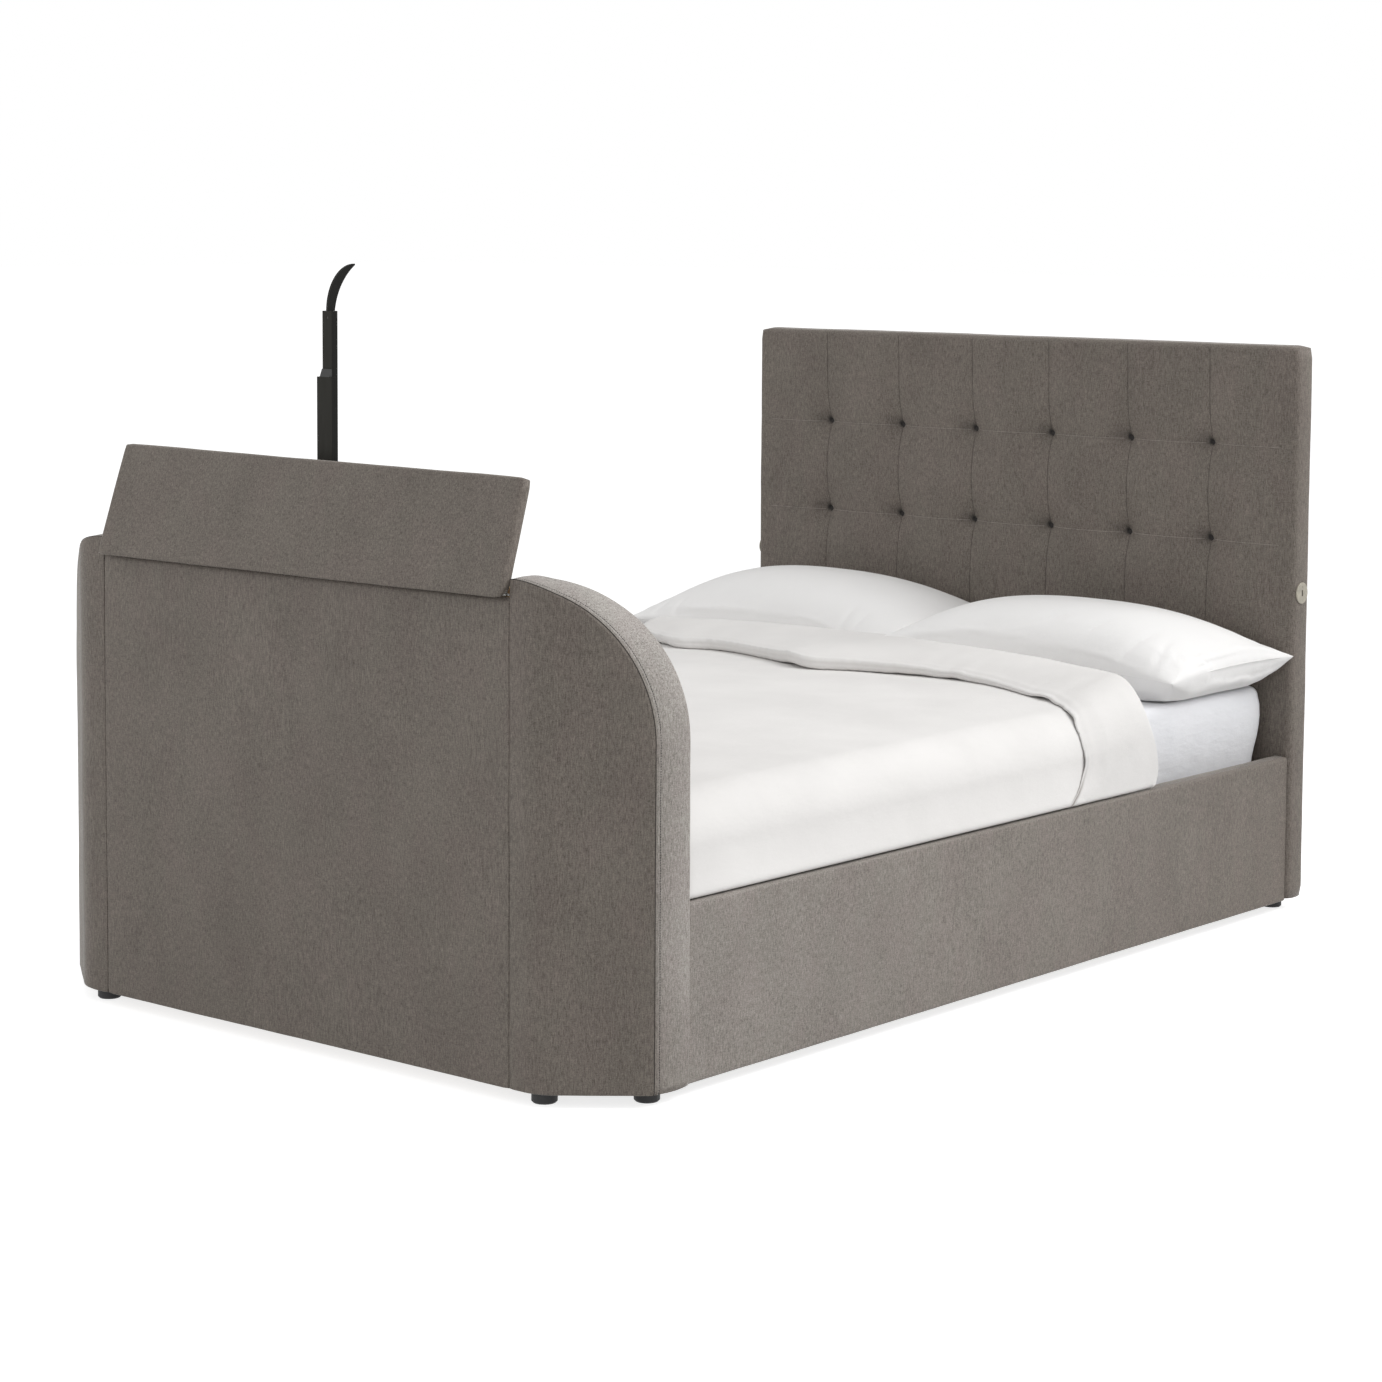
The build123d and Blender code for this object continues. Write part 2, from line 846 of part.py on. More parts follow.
def lid_cover():
    """Padded cover over the lid's outer face and edges."""
    half = lid_half_opening - lid_side_gap
    body = block(-half, half, hinge_y, hinge_y + lid_length, lid_underside, lid_underside + lid_thickness)
    body = fillet(body.edges().filter_by(Axis.Z), lid_corner_radius)
    body = fillet(body.edges().group_by(Axis.Z)[-1], lid_edge_radius)
    return opened(body - lid_board_block(lid_board_margin))


def lid_board():
    """Board on the lid's underside."""
    return opened(lid_board_block(lid_board_margin))


def hinge_spans(own):
    """The (start, end) along X of every second knuckle."""
    length = 2 * (lid_half_opening - hinge_end_margin)
    pitch = length / hinge_knuckle_count
    start = -length / 2
    spans = []
    for i in range(own, hinge_knuckle_count, 2):
        x0 = start + i * pitch
        spans.append((x0 + hinge_knuckle_gap / 2, x0 + pitch - hinge_knuckle_gap / 2))
    return spans


def hinge_leaf(own, z0):
    """One leaf of the piano hinge, lying flat, with its knuckles round the pin."""
    half = lid_half_opening - hinge_end_margin
    plate_y0 = hinge_y + hinge_knuckle_radius + hinge_notch_gap
    leaf = block(-half, half, plate_y0, hinge_y + hinge_leaf_width, z0, z0 + hinge_leaf_thickness)
    bore = hinge_pin_radius + hinge_pin_fit
    for x0, x1 in hinge_spans(own):
        knuckle = rod_x(hinge_y, hinge_axis_height, x0, x1, hinge_knuckle_radius)
        bridge = block(x0, x1, hinge_y, plate_y0 + hinge_notch_gap, z0, z0 + hinge_leaf_thickness)
        leaf += (knuckle + bridge) - rod_x(hinge_y, hinge_axis_height, x0 - cut, x1 + cut, bore)
    return leaf


def lid_hinge_fixed_leaf():
    """Hinge leaf that lies on the front board's top edge."""
    return hinge_leaf(0, hinge_seat_z)


def lid_hinge_moving_leaf():
    """Hinge leaf under the lid."""
    return opened(hinge_leaf(1, lid_underside - hinge_leaf_thickness))


def lid_hinge_pin():
    """Long pin of the piano hinge."""
    half = lid_half_opening - hinge_end_margin / 2
    return rod_x(hinge_y, hinge_axis_height, -half, half, hinge_pin_radius)


def lid_glide_strip():
    """Smooth strip under the lid, with a rubber buffer cut to stand against the mast."""
    half = glide_strip_width / 2
    y0 = hinge_y + glide_strip_start
    low = lid_underside - glide_strip_thickness
    strip = block(-half, half, y0, y0 + glide_strip_length, low, lid_underside)
    b0 = hinge_y + buffer_start
    half_buffer = buffer_width / 2
    strip += block(-half_buffer, half_buffer, b0, b0 + buffer_length, low - buffer_reach, low)
    behind = mast_y - seat_gap
    past = behind + buffer_reach + buffer_length
    return opened(strip) - block(-half, half, behind, past, floor_gap, middle_top)


# Television lift
def lipped_channel(width, depth, mouth, y0, z0, z1):
    """Upright channel that opens toward the bed between two lips."""
    half = width / 2
    body = block(-half, half, y0, y0 + depth, z0, z1)
    clear = half - lift_wall
    back = y0 + depth
    body -= block(-clear, clear, y0 + lift_wall, back - lift_wall, z0 - cut, z1 + cut)
    return body - block(-mouth / 2, mouth / 2, y0 + lift_wall, back + cut, z0 - cut, z1 + cut)


def lift_casing():
    """Fixed outer channel of the lift."""
    y0 = mast_y - seat_gap - casing_depth
    return lipped_channel(casing_width, casing_depth, casing_lip_mouth, y0, foot_floor_top, casing_top)


def lift_middle_stage():
    """Middle channel of the lift."""
    return lipped_channel(middle_width, middle_depth, middle_lip_mouth, mast_y, middle_bottom, middle_top)


def middle_stage_pad():
    """Plastic pad on the middle stage that slides in the casing."""
    z1 = middle_bottom + middle_pad_length
    web = mast_y - seat_gap - casing_depth + lift_wall + slide_gap
    lips = mast_y - seat_gap - lift_wall - slide_gap
    half = middle_pad_width / 2
    half_neck = pad_neck_width / 2
    pad = block(-half, half, web, lips, middle_bottom, z1)
    return pad + block(-half_neck, half_neck, lips, mast_y, middle_bottom, z1)


def inner_front_y():
    """The inner stage's front face."""
    return mast_y + middle_depth - lift_wall - slide_gap


def inner_stage_pad():
    """Plastic pad on the inner stage that slides in the middle stage."""
    half = inner_pad_width / 2
    z1 = inner_bottom + inner_pad_length
    return block(-half, half, mast_y + lift_wall + slide_gap, inner_front_y(), inner_bottom, z1)


def lift_inner_stage():
    """Inner tube of the lift, with holes for its bracket bolts and for the lifter's screw."""
    half = inner_width / 2
    y0 = inner_front_y()
    y1 = y0 + inner_depth
    tube = block(-half, half, y0, y1, inner_bottom, inner_top)
    clear = half - lift_wall
    z0, z1 = inner_bottom - cut, inner_top + cut
    tube -= block(-clear, clear, y0 + lift_wall, y1 - lift_wall, z0, z1)
    for z in plate_bolt_heights():
        tube -= rod_y(0, z, y1 - lift_wall - cut, y1 + cut, plate_bolt_radius)
    z = inner_top - lifter_screw_drop
    return tube - rod_y(0, z, y0 - cut, y0 + lift_wall + cut, lifter_screw_radius)


def middle_stage_cap():
    """Plastic wedge on the middle stage's top, in front of the inner stage."""
    back = inner_front_y() - slide_gap
    shape = polygon(
        (mast_y, middle_top),
        (back, middle_top),
        (back, middle_top + cap_height),
        (back - cap_tip, middle_top + cap_height),
    )
    return along_x(shape, -cap_width / 2, cap_width / 2)


def lift_fixings():
    """Brackets that hold the casing to the front board, one low and one high."""
    casing_front = mast_y - seat_gap - casing_depth
    heights = (foot_floor_top + fixing_lift, casing_top - fixing_top_drop)
    brackets = []
    for z in heights:
        half = fixing_plate_width / 2
        plate = block(-half, half, well_front_y, well_front_y + fixing_plate_thickness, z, z + fixing_height)
        half_web = fixing_web_width / 2
        hat = block(-half_web, half_web, well_front_y, casing_front, z, z + fixing_height)
        half_hollow = half_web - fixing_plate_thickness
        hollow_end = casing_front - fixing_plate_thickness
        z1 = z + fixing_height + cut
        hat -= block(-half_hollow, half_hollow, well_front_y - cut, hollow_end, z - cut, z1)
        brackets.append(plate + hat)
    return group(brackets)


def spindle_y():
    """The spindle axis's place along the bed."""
    return foot_front_y + spindle_setback


def lift_arm():
    """Arm on the middle stage with the drive nut that rides on the spindle."""
    y0 = mast_y
    z1 = middle_bottom + nut_height
    arm = block(middle_width / 2, spindle_x, y0, y0 + arm_thickness, middle_bottom, z1)
    arm += rod(spindle_x, spindle_y(), middle_bottom, z1, nut_radius)
    bore = spindle_radius + spindle_fit
    return arm - rod(spindle_x, spindle_y(), middle_bottom - cut, z1 + cut, bore)


def lift_spindle():
    """Drive spindle, its thread left plain."""
    return rod(spindle_x, spindle_y(), foot_floor_top + spindle_bottom_rise, spindle_top, spindle_radius)


def bearing_block(z0, z1, bore_start):
    """Square bearing round the spindle."""
    half = bearing_size / 2
    y = spindle_y()
    body = block(spindle_x - half, spindle_x + half, y - half, y + half, z0, z1)
    return body - rod(spindle_x, y, bore_start, z1 + cut, spindle_radius + spindle_fit)


def spindle_bearings():
    """Foot bearing on the well's floor, and top bearing carried by the casing's side."""
    z0 = foot_floor_top
    foot = bearing_block(z0, z0 + bearing_height, z0 + spindle_bottom_rise)
    z1 = bearing_top_start + bearing_height
    top = bearing_block(bearing_top_start, z1, bearing_top_start - cut)
    casing_back = mast_y - seat_gap
    arm = block(
        casing_width / 2,
        spindle_x - bearing_size / 2,
        casing_back - casing_depth,
        casing_back,
        bearing_top_start,
        z1,
    )
    return group([foot, top + arm])


def lift_gearbox():
    """Gear housing that turns the spindle, seated on the top bearing's height."""
    y = spindle_y()
    half = gearbox_width / 2
    y0, y1 = y - gearbox_depth / 2, y + gearbox_depth / 2
    body = block(spindle_x - half, spindle_x + half, y0, y1, bearing_top(), gearbox_top())
    body = fillet(body.edges().filter_by(Axis.Z), control_box_radius)
    return body - rod(spindle_x, y, bearing_top() - cut, spindle_top + cut, spindle_radius + spindle_fit)


def bearing_top():
    """Top of the spindle's upper bearing."""
    return bearing_top_start + bearing_height


def gearbox_top():
    """Top of the gear housing."""
    return bearing_top() + gearbox_height


def lift_motor():
    """Tubular motor on top of the gear housing."""
    body = rod(spindle_x, spindle_y(), gearbox_top(), gearbox_top() + motor_length, motor_radius)
    return fillet(body.edges().group_by(Axis.Z)[-1], control_box_radius)


def lift_control_box():
    """Control and receiver box on the front board, inside the well."""
    half = control_box_width / 2
    z1 = control_box_bottom + control_box_height
    x0, x1 = control_box_x - half, control_box_x + half
    y1 = well_front_y + control_box_depth
    body = block(x0, x1, well_front_y, y1, control_box_bottom, z1)
    return fillet(body.edges().filter_by(Axis.Y), control_box_radius)


def mains_gland():
    """Gland under the control box where the supply lead enters."""
    y = well_front_y + control_box_depth / 2
    z0 = control_box_bottom - gland_length
    body = rod(control_box_x, y, z0, control_box_bottom, gland_radius)
    return body - rod(control_box_x, y, z0 - cut, control_box_bottom + cut, gland_bore_radius)


def plate_bolt_heights():
    """Heights of the bolts between the bracket plate and the inner stage."""
    return [vesa_centre_height + k * plate_bolt_spacing / 2 for k in (-1, 1)]


def tv_bracket():
    """Plate on the inner stage with the screw holes for a television."""
    y0 = inner_front_y() + inner_depth
    y1 = y0 + bracket_plate_thickness
    half = vesa_width / 2 + vesa_margin
    rise = vesa_height / 2 + vesa_margin
    plate = block(-half, half, y0, y1, vesa_centre_height - rise, vesa_centre_height + rise)
    plate = fillet(plate.edges().filter_by(Axis.Y), vesa_margin / 2)
    for sx in (-1, 1):
        x = sx * vesa_width / 4
        window = block(
            x - plate_window_width / 2,
            x + plate_window_width / 2,
            y0 - cut,
            y1 + cut,
            vesa_centre_height - plate_window_height / 2,
            vesa_centre_height + plate_window_height / 2,
        )
        plate -= fillet(window.edges().filter_by(Axis.Y), vesa_margin)
        for sz in (-1, 1):
            z = vesa_centre_height + sz * vesa_height / 2
            plate -= rod_y(sx * vesa_width / 2, z, y0 - cut, y1 + cut, vesa_hole_radius)
    for z in plate_bolt_heights():
        plate -= rod_y(0, z, y0 - cut, y1 + cut, plate_bolt_radius)
    return plate


def lift_screws():
    """Bolts of the television bracket and the lifter's screw, all on the inner stage."""
    y0 = inner_front_y()
    y1 = y0 + inner_depth + bracket_plate_thickness
    screws = []
    for z in plate_bolt_heights():
        head = rod_y(0, z, y1, y1 + plate_bolt_head_height, plate_bolt_head_radius)
        shank = rod_y(0, z, y0 + inner_depth - lift_wall, y1, plate_bolt_radius)
        screws.append(head + shank)
    z = inner_top - lifter_screw_drop
    screws.append(rod_y(0, z, y0 + lifter_screw_sink, y0 + lift_wall, lifter_screw_radius))
    return group(screws)


def lid_lifter():
    """Curved blade on the inner stage's top that carries the lid as the lift rises."""
    y0 = inner_front_y() + lift_wall
    z0 = inner_top
    base = inner_depth - lift_wall - lift_wall
    half = lifter_thickness / 2
    tang = block(-half, half, y0, y0 + base, z0 - lifter_tang_length, z0)
    front = inner_front_y()
    back = front + lifter_base_width
    tip = (front + lifter_reach, z0 + lifter_rise)
    under = (tip[0], tip[1] - lifter_tip)
    outer = EllipticalCenterArc(
        (tip[0], z0),
        lifter_reach,
        lifter_rise,
        start_angle=quarter_turn,
        arc_size=quarter_turn,
    )
    inner = ThreePointArc(under, (back + lifter_belly, z0 + lifter_rise / 2), (back, z0))
    blade = make_face([outer, inner, Line(under, tip), Line((back, z0), (front, z0))])
    return tang + along_x(blade, -half, half)


# Bedding
def mattress():
    """Deep mattress with rounded corners and edges."""
    half = mattress_width / 2
    body = block(-half, half, mattress_foot_y, -mattress_head_gap, mattress_bottom, mattress_top)
    body = fillet(body.edges().filter_by(Axis.Z), mattress_corner_radius)
    ends = body.edges().group_by(Axis.Z)
    return fillet(ends[0] + ends[-1], mattress_edge_radius)


def cloth_profile(half, low, top, crown, shoulder):
    """Outline in (X, Z) of a cover over the mattress: upright sides, round shoulders, crowned top."""
    right = Line((half, low), (half, top - shoulder))
    turn_right = RadiusArc((half, top - shoulder), (half - shoulder, top), -shoulder)
    turn_left = RadiusArc((-half + shoulder, top), (-half, top - shoulder), -shoulder)
    across = Line((half - shoulder, top), (-half + shoulder, top))
    if crown > 0:
        across = ThreePointArc((half - shoulder, top), (0, top + crown), (-half + shoulder, top))
    left = Line((-half, top - shoulder), (-half, low))
    base = Line((-half, low), (half, low))
    return make_face([right, turn_right, across, turn_left, left, base])


def bedding_solid(side, thickness, crown, y0, y1):
    """Bedding of a given thickness over the mattress, down to the rails' tops."""
    inner_half = mattress_width / 2 + duvet_clearance
    low = rail_top + seat_gap
    inner_top_z = mattress_top + duvet_clearance
    outer = cloth_profile(inner_half + side, low, inner_top_z + thickness, crown, duvet_shoulder_radius)
    inner = cloth_profile(inner_half, low - cut, inner_top_z, 0.0, mattress_edge_radius)
    return along_y(outer - inner, y0, y1)


def flap_plan():
    """Plan of the turned-back flap."""
    half = bed_half_width
    head = [(x * half, -y * mattress_length) for x, y in flap_head_shares]
    hem = [(x * half, -y * mattress_length) for x, y in flap_hem_shares]
    edges = [Spline(*head), Line(head[-1], hem[0]), Spline(*hem), Line(hem[-1], head[0])]
    return make_face(edges)


def duvet():
    """Duvet over the mattress, with its head end turned back as a thick flap."""
    foot_y = back_cover_y + duvet_clearance
    quilt = bedding_solid(duvet_side_thickness, duvet_top_thickness, duvet_crown, foot_y, duvet_head_y)
    side = duvet_side_thickness + flap_side_thickness
    top = duvet_top_thickness + flap_thickness
    flap = bedding_solid(side, top, duvet_crown + flap_crown, foot_y, 0)
    column = extrude(Pos(0, 0, floor_gap) * flap_plan(), foot_height)
    return quilt + (flap & column)


def pillow(length, depth, loft_height):
    """Plump pillow lofted along its length through lens-shaped sections, centred on its seam."""
    faces = []
    for along, deep, loft_share in pillow_section_shares:
        half = depth / 2 * deep
        high = pillow_edge + (loft_height - pillow_edge) * loft_share
        low = pillow_edge + (pillow_sag - pillow_edge) * loft_share
        upper = ThreePointArc((-half, 0), (0, high), (half, 0))
        lower = ThreePointArc((half, 0), (0, -low), (-half, 0))
        plane = Plane.YZ.offset(along * length / 2)
        faces.append(plane * make_face([upper, lower]))
    return loft(faces)


def pillow_seam_z():
    """Height of the pillows' seams when they lie on the mattress."""
    return mattress_top + seat_gap + pillow_sag


def pillow_left():
    """Pillow on the left, lying along the headboard."""
    x = -(left_pillow_length + pillow_middle_gap) / 2
    y = -pillow_headboard_gap - left_pillow_depth / 2
    body = pillow(left_pillow_length, left_pillow_depth, left_pillow_loft)
    return Pos(x, y, pillow_seam_z()) * body


def pillow_right():
    """Pillow on the right, lying along the headboard."""
    x = (right_pillow_length + pillow_middle_gap) / 2
    y = -pillow_headboard_gap - right_pillow_depth / 2
    body = pillow(right_pillow_length, right_pillow_depth, right_pillow_loft)
    return Pos(x, y, pillow_seam_z()) * body


def right_and_left(name, shape):
    """A piece and its mirror image, under two names."""
    return {name + "_right": shape, name + "_left": other_side(shape)}


def all_pieces():
    """Every piece of the bed by name, with Y measured from the headboard's front face."""
    pieces = {
        "headboard_cover": headboard_cover(),
        "headboard_board": headboard_board(),
        "headboard_battens": headboard_battens(),
        "headboard_back_cloth": headboard_back_cloth(),
        "headboard_buttons": headboard_buttons(),
        "headboard_glides": headboard_glides(),
        "slats": slats(),
        "slat_holders": slat_holders(),
        "centre_rail": centre_rail(),
        "centre_legs": centre_legs(),
        "corner_brackets": corner_brackets(),
        "corner_bolts": corner_bolts(),
        "foot_front_board": foot_front_board(),
        "foot_front_cover": foot_front_cover(),
        "foot_back_board": foot_back_board(),
        "foot_back_cover": foot_back_cover(),
        "foot_floor_board": foot_floor_board(),
        "mattress_stop": mattress_stop(),
        "foot_glides": foot_glides(),
        "lid_cover": lid_cover(),
        "lid_board": lid_board(),
        "lid_hinge_fixed_leaf": lid_hinge_fixed_leaf(),
        "lid_hinge_moving_leaf": lid_hinge_moving_leaf(),
        "lid_hinge_pin": lid_hinge_pin(),
        "lid_glide_strip": lid_glide_strip(),
        "lift_casing": lift_casing(),
        "lift_fixings": lift_fixings(),
        "lift_middle_stage": lift_middle_stage(),
        "middle_stage_pad": middle_stage_pad(),
        "middle_stage_cap": middle_stage_cap(),
        "lift_arm": lift_arm(),
        "lift_inner_stage": lift_inner_stage(),
        "inner_stage_pad": inner_stage_pad(),
        "lid_lifter": lid_lifter(),
        "lift_spindle": lift_spindle(),
        "spindle_bearings": spindle_bearings(),
        "lift_gearbox": lift_gearbox(),
        "lift_motor": lift_motor(),
        "lift_control_box": lift_control_box(),
        "mains_gland": mains_gland(),
        "tv_bracket": tv_bracket(),
        "lift_screws": lift_screws(),
        "mattress": mattress(),
        "duvet": duvet(),
        "pillow_left": pillow_left(),
        "pillow_right": pillow_right(),
    }
    pieces.update(right_and_left("usb_port", usb_port()))
    pieces.update(right_and_left("side_rail_cover", side_rail_cover()))
    pieces.update(right_and_left("side_rail_board", side_rail_board()))
    pieces.update(right_and_left("slat_ledge", slat_ledge()))
    pieces.update(right_and_left("wing_core", wing_core()))
    pieces.update(right_and_left("wing_cover", wing_cover()))
    pieces.update(right_and_left("foot_side_board", foot_side_board()))
    return pieces


def middle_of_length():
    """The Y halfway between the headboard's back and the open lid's rounded front corner."""
    angle = math.radians(lid_open_angle)
    rise = lid_underside + lid_thickness - lid_edge_radius - hinge_axis_height
    front = hinge_y + lid_edge_radius * math.cos(angle) - rise * math.sin(angle) - lid_edge_radius
    return (headboard_thickness + front) / 2


def save_pieces():
    """Writes each piece, moved so that Y is 0 in the middle of the bed's whole length."""
    os.makedirs("parts", exist_ok=True)
    pieces = all_pieces()
    middle = middle_of_length()
    for name, piece in pieces.items():
        export_step(Pos(0, -middle, 0) * piece, f"parts/{name}.step")


save_pieces()
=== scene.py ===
"""A dressed double bed with a television lift in its foot end."""

import json
import logging
import math
from dataclasses import dataclass
from enum import Enum
from typing import Callable, Sequence

import bmesh
import bpy
import numpy as np
from mathutils import Matrix, Vector, noise
from mathutils.bvhtree import BVHTree
from mathutils.kdtree import KDTree

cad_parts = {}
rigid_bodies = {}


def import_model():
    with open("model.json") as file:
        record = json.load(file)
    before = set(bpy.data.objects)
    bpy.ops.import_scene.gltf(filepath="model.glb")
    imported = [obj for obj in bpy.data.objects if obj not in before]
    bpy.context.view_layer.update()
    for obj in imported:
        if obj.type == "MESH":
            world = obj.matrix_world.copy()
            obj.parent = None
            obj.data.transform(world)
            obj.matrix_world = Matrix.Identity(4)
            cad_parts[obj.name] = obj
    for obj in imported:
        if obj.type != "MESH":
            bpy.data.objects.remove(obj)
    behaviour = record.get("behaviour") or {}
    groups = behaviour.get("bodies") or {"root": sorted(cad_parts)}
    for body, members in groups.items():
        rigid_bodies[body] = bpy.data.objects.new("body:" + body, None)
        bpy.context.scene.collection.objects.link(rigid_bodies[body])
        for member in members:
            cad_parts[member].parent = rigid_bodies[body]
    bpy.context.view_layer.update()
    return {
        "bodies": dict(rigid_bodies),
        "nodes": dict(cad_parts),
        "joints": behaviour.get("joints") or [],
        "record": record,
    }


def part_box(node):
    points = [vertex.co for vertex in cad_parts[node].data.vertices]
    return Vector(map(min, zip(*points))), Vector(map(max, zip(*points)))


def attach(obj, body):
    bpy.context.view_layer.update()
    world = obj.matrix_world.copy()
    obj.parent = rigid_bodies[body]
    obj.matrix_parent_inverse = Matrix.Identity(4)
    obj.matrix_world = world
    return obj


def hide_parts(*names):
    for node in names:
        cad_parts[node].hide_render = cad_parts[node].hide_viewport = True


LOG = logging.getLogger("tv_bed")
MM = 0.001
Array = np.ndarray
Material = bpy.types.Material
Pair = tuple[float, float]
Piece = bpy.types.Object
Place = Callable[[Array, Array], Array]
Socket = bpy.types.NodeSocket
Tone = tuple[int, int, int]
Triple = tuple[float, float, float]


# Shading graphs


class Graph:
    """A material's node tree, with short calls to add and join nodes."""

    def __init__(self, name: str) -> None:
        """Makes an empty material with this name.

        Args:
            name: The material's name.
        """
        self.material = bpy.data.materials.new(name)
        self.material.use_nodes = True
        self.tree = self.material.node_tree
        self.tree.nodes.clear()
        self.output = self.tree.nodes.new("ShaderNodeOutputMaterial")

    def node(self, kind: str, props: dict | None = None, **inputs: object) -> bpy.types.Node:
        """Adds a node.

        Args:
            kind: The node's type, without its prefix.
            props: Values for the node's own properties.
            **inputs: A value or an output socket for each input, by its name in lower case.

        Returns:
            The new node.
        """
        made = self.tree.nodes.new("ShaderNode" + kind)
        for key, value in (props or {}).items():
            setattr(made, key, value)
        for key, value in inputs.items():
            socket = self._socket(made, key)
            if isinstance(value, Socket):
                self.tree.links.new(value, socket)
            else:
                socket.default_value = value
        return made

    @staticmethod
    def _socket(made: bpy.types.Node, key: str) -> Socket:
        """Finds an input by its place, such as in0, or by its name in lower case.

        Args:
            made: The node.
            key: The input's name or place.

        Returns:
            The input.
        """
        if key.startswith("in") and key[2:].isdigit():
            return made.inputs[int(key[2:])]
        for socket in made.inputs:
            if socket.name.lower().replace(" ", "_") == key and socket.enabled:
                return socket
        raise KeyError(f"{made.bl_idname} has no input {key}")

    def math(self, operation: str, first: object, second: object = 0.0) -> Socket:
        """Adds a Math node and returns its output."""
        return self.node("Math", {"operation": operation}, in0=first, in1=second).outputs[0]

    def mix(self, factor: object, first: object, second: object, mode: str = "MIX") -> Socket:
        """Mixes two colours and returns the output."""
        props = {"data_type": "RGBA", "blend_type": mode}
        return self.node("Mix", props, in0=factor, in6=first, in7=second).outputs[2]

    def tinted(self, share: object, colour: object, gain: Triple) -> Socket:
        """Multiplies a colour by a gain, in a share from 0 to 1, and returns the output."""
        return self.mix(share, colour, (*gain, 1.0), "MULTIPLY")

    def weighted(self, *parts: tuple[Socket, float]) -> Socket:
        """Adds sockets up, each times its weight.

        Args:
            *parts: Pairs of a socket and its weight.

        Returns:
            The sum's output.
        """
        scaled = [self.math("MULTIPLY", value, weight) for value, weight in parts]
        total = scaled[0]
        for part in scaled[1:]:
            total = self.math("ADD", total, part)
        return total

    def place(self, scale: Triple = (1.0, 1.0, 1.0)) -> Socket:
        """Object coordinates in metres, stretched by a scale."""
        found = self.node("TexCoord").outputs["Object"]
        return self.node("Mapping", vector=found, scale=scale).outputs[0]

    def speckle(self, vector: object, scale: float, detail: float = 2.0, roughness: float = 0.5) -> Socket:
        """Noise between 0 and 1."""
        made = self.node("TexNoise", vector=vector, scale=scale, detail=detail, roughness=roughness)
        return made.outputs[0]

    def stretch(self, value: object, low: float, high: float, to_low: float, to_high: float) -> Socket:
        """Maps a range of values onto another, without going past its ends."""
        made = self.node("MapRange", value=value, from_min=low, from_max=high, to_min=to_low, to_max=to_high)
        return made.outputs[0]

    def bump(self, height: object, distance: float, strength: float = 1.0, normal: object = None) -> Socket:
        """A bumped normal from a height.

        Args:
            height: The height.
            distance: What a height of 1 is worth, in metres.
            strength: Share of the bump that shows.
            normal: The normal to start from, if any.

        Returns:
            The bumped normal.
        """
        inputs = {"height": height, "distance": distance, "strength": strength}
        if normal is not None:
            inputs["normal"] = normal
        return self.node("Bump", **inputs).outputs[0]

    def finish(self, shader: bpy.types.Node) -> Material:
        """Joins a shader to the output and returns the material."""
        self.tree.links.new(shader.outputs[0], self.output.inputs[0])
        return self.material


def linear(colour: Sequence[float]) -> tuple[float, float, float, float]:
    """Turns a display colour from 0 to 255 into the linear colour that a shader reads."""
    shares = [c / 255.0 for c in colour]
    return (*(p / 12.92 if p <= 0.04045 else ((p + 0.055) / 1.055) ** 2.4 for p in shares), 1.0)


